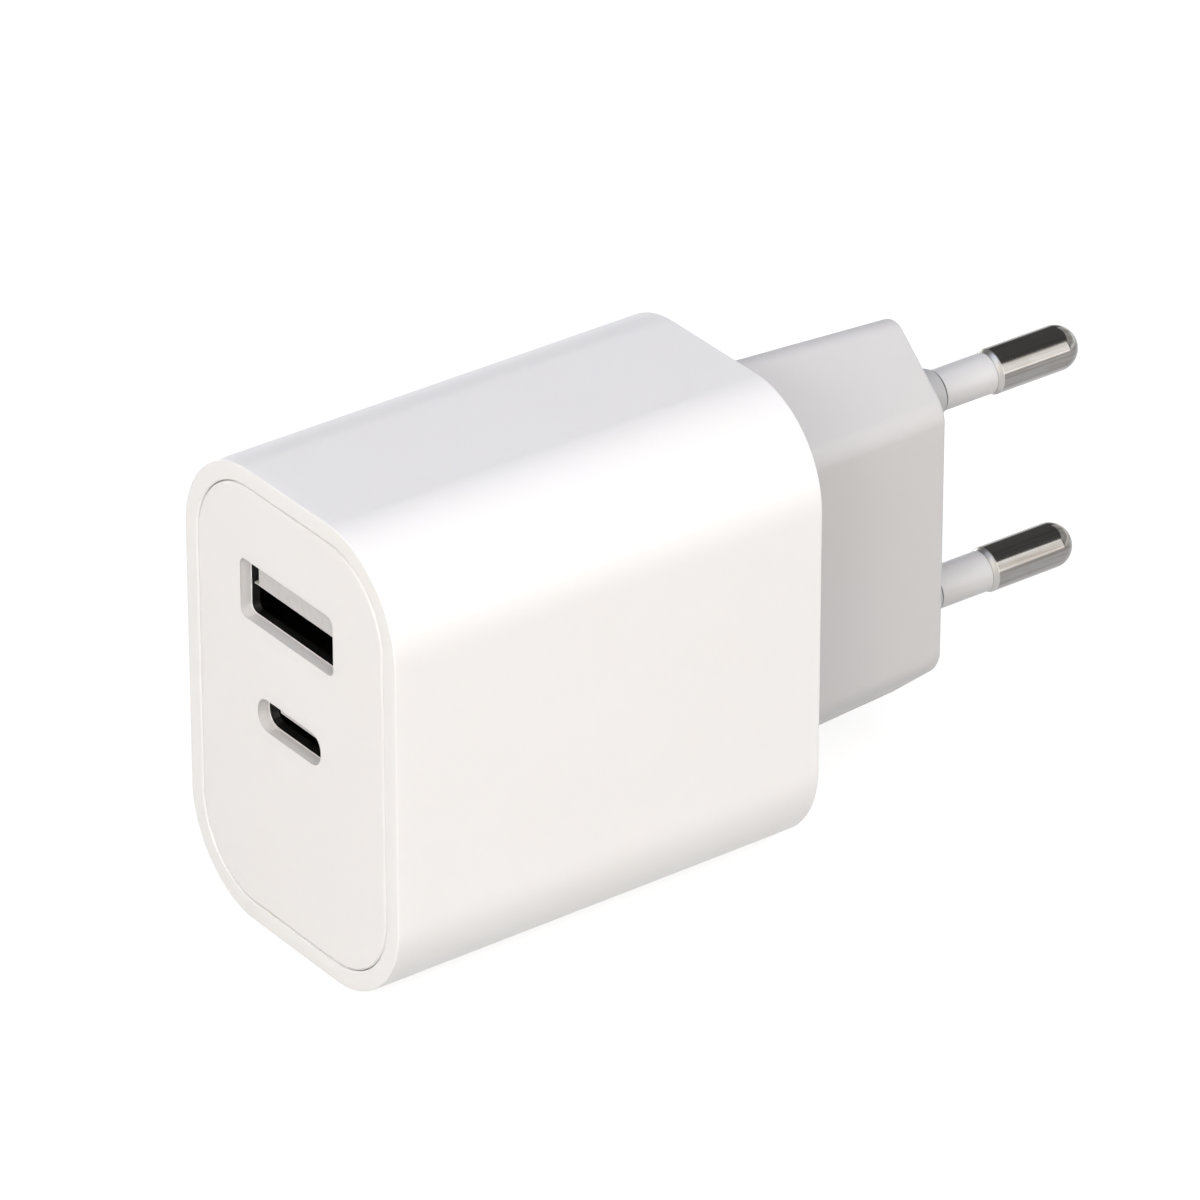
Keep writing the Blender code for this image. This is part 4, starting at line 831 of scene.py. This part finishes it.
for part in frame["record"]["subparts"]:
    for slot in frame["nodes"][part["node"]].material_slots:
        slot.material = FINISHES[part["material_slot"]]


# ---- Floor, light and camera --------------------------------------------------------------------
LIT_POINT = Vector((0.0, -0.025, 0.0))
FLOOR_HALF_WIDTH = 6.0
FLOOR_GAP = 0.00002
FLOOR_GREY = 0.40
GLOW_LEAST = 0.79  # the floor's own glow near the charger, where the lamps add to it
GLOW_NEAR, GLOW_FAR = 0.10, 0.60  # metres from the origin
SKY_WHITE_TO, SKY_DIM_FROM = 0.085, 0.20  # sines of the rise above the horizon
SKY_DIM = 0.16
SKY_LIGHT = 0.25  # the backdrop's strength as a source of light
LENS_MM = 274.0
CAMERA_PLACE = Vector((0.52122, -0.41571, 0.37152))
CAMERA_AIM = Vector((0.00164, -0.03165, 0.00243))
# Name, turn from the ports' side and rise in degrees, width, height, and light on what faces it.
LAMPS = (
    ("front_box", 20.0, 15.0, 0.70, 0.70, (0.625, 0.600, 0.568)),
    ("key_box", 50.0, 35.0, 0.80, 1.20, (0.526, 0.506, 0.487)),
    ("side_box", 100.0, 30.0, 0.70, 0.70, (0.186, 0.171, 0.157)),
    ("edge_strip", 125.0, 15.0, 0.34, 1.20, (0.310, 0.305, 0.298)),
    ("top_box", 90.0, 86.0, 0.80, 0.80, (0.345, 0.368, 0.448)),
    ("rear_box", 180.0, 14.0, 1.60, 1.00, (0.360, 0.356, 0.350)),
    ("left_box", 272.0, 4.0, 0.70, 0.24, (0.320, 0.318, 0.314)),
)


def facing(place, away):
    """The placement at a point of a lamp or camera that looks against the away direction."""
    return Matrix.Translation(place) @ away.to_track_quat("Z", "Y").to_matrix().to_4x4()


def make_floor():
    """A wide pale floor that looks white, also in gloss, and keeps the charger's soft shadow."""
    bm = bmesh.new()
    level = Matrix.Translation((0.0, 0.0, HOUSING_LOW.z - FLOOR_GAP))
    bmesh.ops.create_grid(bm, x_segments=1, y_segments=1, size=FLOOR_HALF_WIDTH, matrix=level)
    mesh = bpy.data.meshes.new("floor")
    bm.to_mesh(mesh)
    bm.free()
    floor = placed("floor", mesh)
    material = bpy.data.materials.new("pale_floor")
    material.use_nodes = True
    tree = material.node_tree
    paper = tree.nodes["Principled BSDF"]
    paper.inputs["Base Color"].default_value = (FLOOR_GREY, FLOOR_GREY, FLOOR_GREY, 1.0)
    paper.inputs["Roughness"].default_value = 0.9
    paper.inputs["Specular IOR Level"].default_value = 0.0
    spot = tree.nodes.new("ShaderNodeTexCoord")
    reach = tree.nodes.new("ShaderNodeVectorMath")
    reach.operation = "LENGTH"
    tree.links.new(spot.outputs["Object"], reach.inputs[0])
    spread = map_range(tree, reach.outputs["Value"], GLOW_NEAR, GLOW_FAR, GLOW_LEAST, 1.0)
    glow = tree.nodes.new("ShaderNodeEmission")
    tree.links.new(reckoned(tree, "MULTIPLY", seen_rays(tree), spread), glow.inputs["Strength"])
    both = tree.nodes.new("ShaderNodeAddShader")
    tree.links.new(paper.outputs[0], both.inputs[0])
    tree.links.new(glow.outputs[0], both.inputs[1])
    tree.links.new(both.outputs[0], tree.nodes["Material Output"].inputs["Surface"])
    mesh.materials.append(material)


def make_lamps():
    """Soft boxes a metre from the charger, each turned to it."""
    for name, turn, rise, width, height, light in LAMPS:
        turn, rise = math.radians(turn), math.radians(rise)
        level = math.cos(rise)
        away = Vector((math.sin(turn) * level, -math.cos(turn) * level, math.sin(rise)))
        lamp = bpy.data.lights.new(name, "AREA")
        lamp.shape = "RECTANGLE"
        lamp.size = width
        lamp.size_y = height
        lamp.energy = math.pi ** 2 * max(light)  # puts this light on a white surface a metre away
        lamp.color = [channel / max(light) for channel in light]
        placed(name, lamp).matrix_world = facing(LIT_POINT + away, away)


def make_camera():
    """A long lens that looks down on the ports and the right side."""
    lens = bpy.data.cameras.new("camera")
    lens.sensor_width = 36.0
    lens.lens = LENS_MM
    lens.clip_start = 0.01
    lens.clip_end = 50.0
    camera = placed("camera", lens)
    camera.matrix_world = facing(CAMERA_PLACE, CAMERA_PLACE - CAMERA_AIM)
    bpy.context.scene.camera = camera


def make_world():
    """A backdrop that is white low down and dim above, and gives little light of its own."""
    world = bpy.data.worlds.new("studio")
    world.use_nodes = True
    tree = world.node_tree
    view = tree.nodes.new("ShaderNodeTexCoord")
    parts = tree.nodes.new("ShaderNodeSeparateXYZ")
    tree.links.new(view.outputs["Generated"], parts.inputs[0])
    rise = parts.outputs["Z"]
    fade = map_range(tree, rise, SKY_WHITE_TO, SKY_DIM_FROM, 1.0, SKY_DIM, "SMOOTHSTEP")
    strength = map_range(tree, seen_rays(tree), 0.0, 1.0, SKY_LIGHT, 1.0)
    tree.links.new(fade, tree.nodes["Background"].inputs["Color"])
    tree.links.new(strength, tree.nodes["Background"].inputs["Strength"])
    bpy.context.scene.world = world


make_floor()
make_lamps()
make_camera()
make_world()
bpy.context.scene.view_settings.view_transform = "Standard"
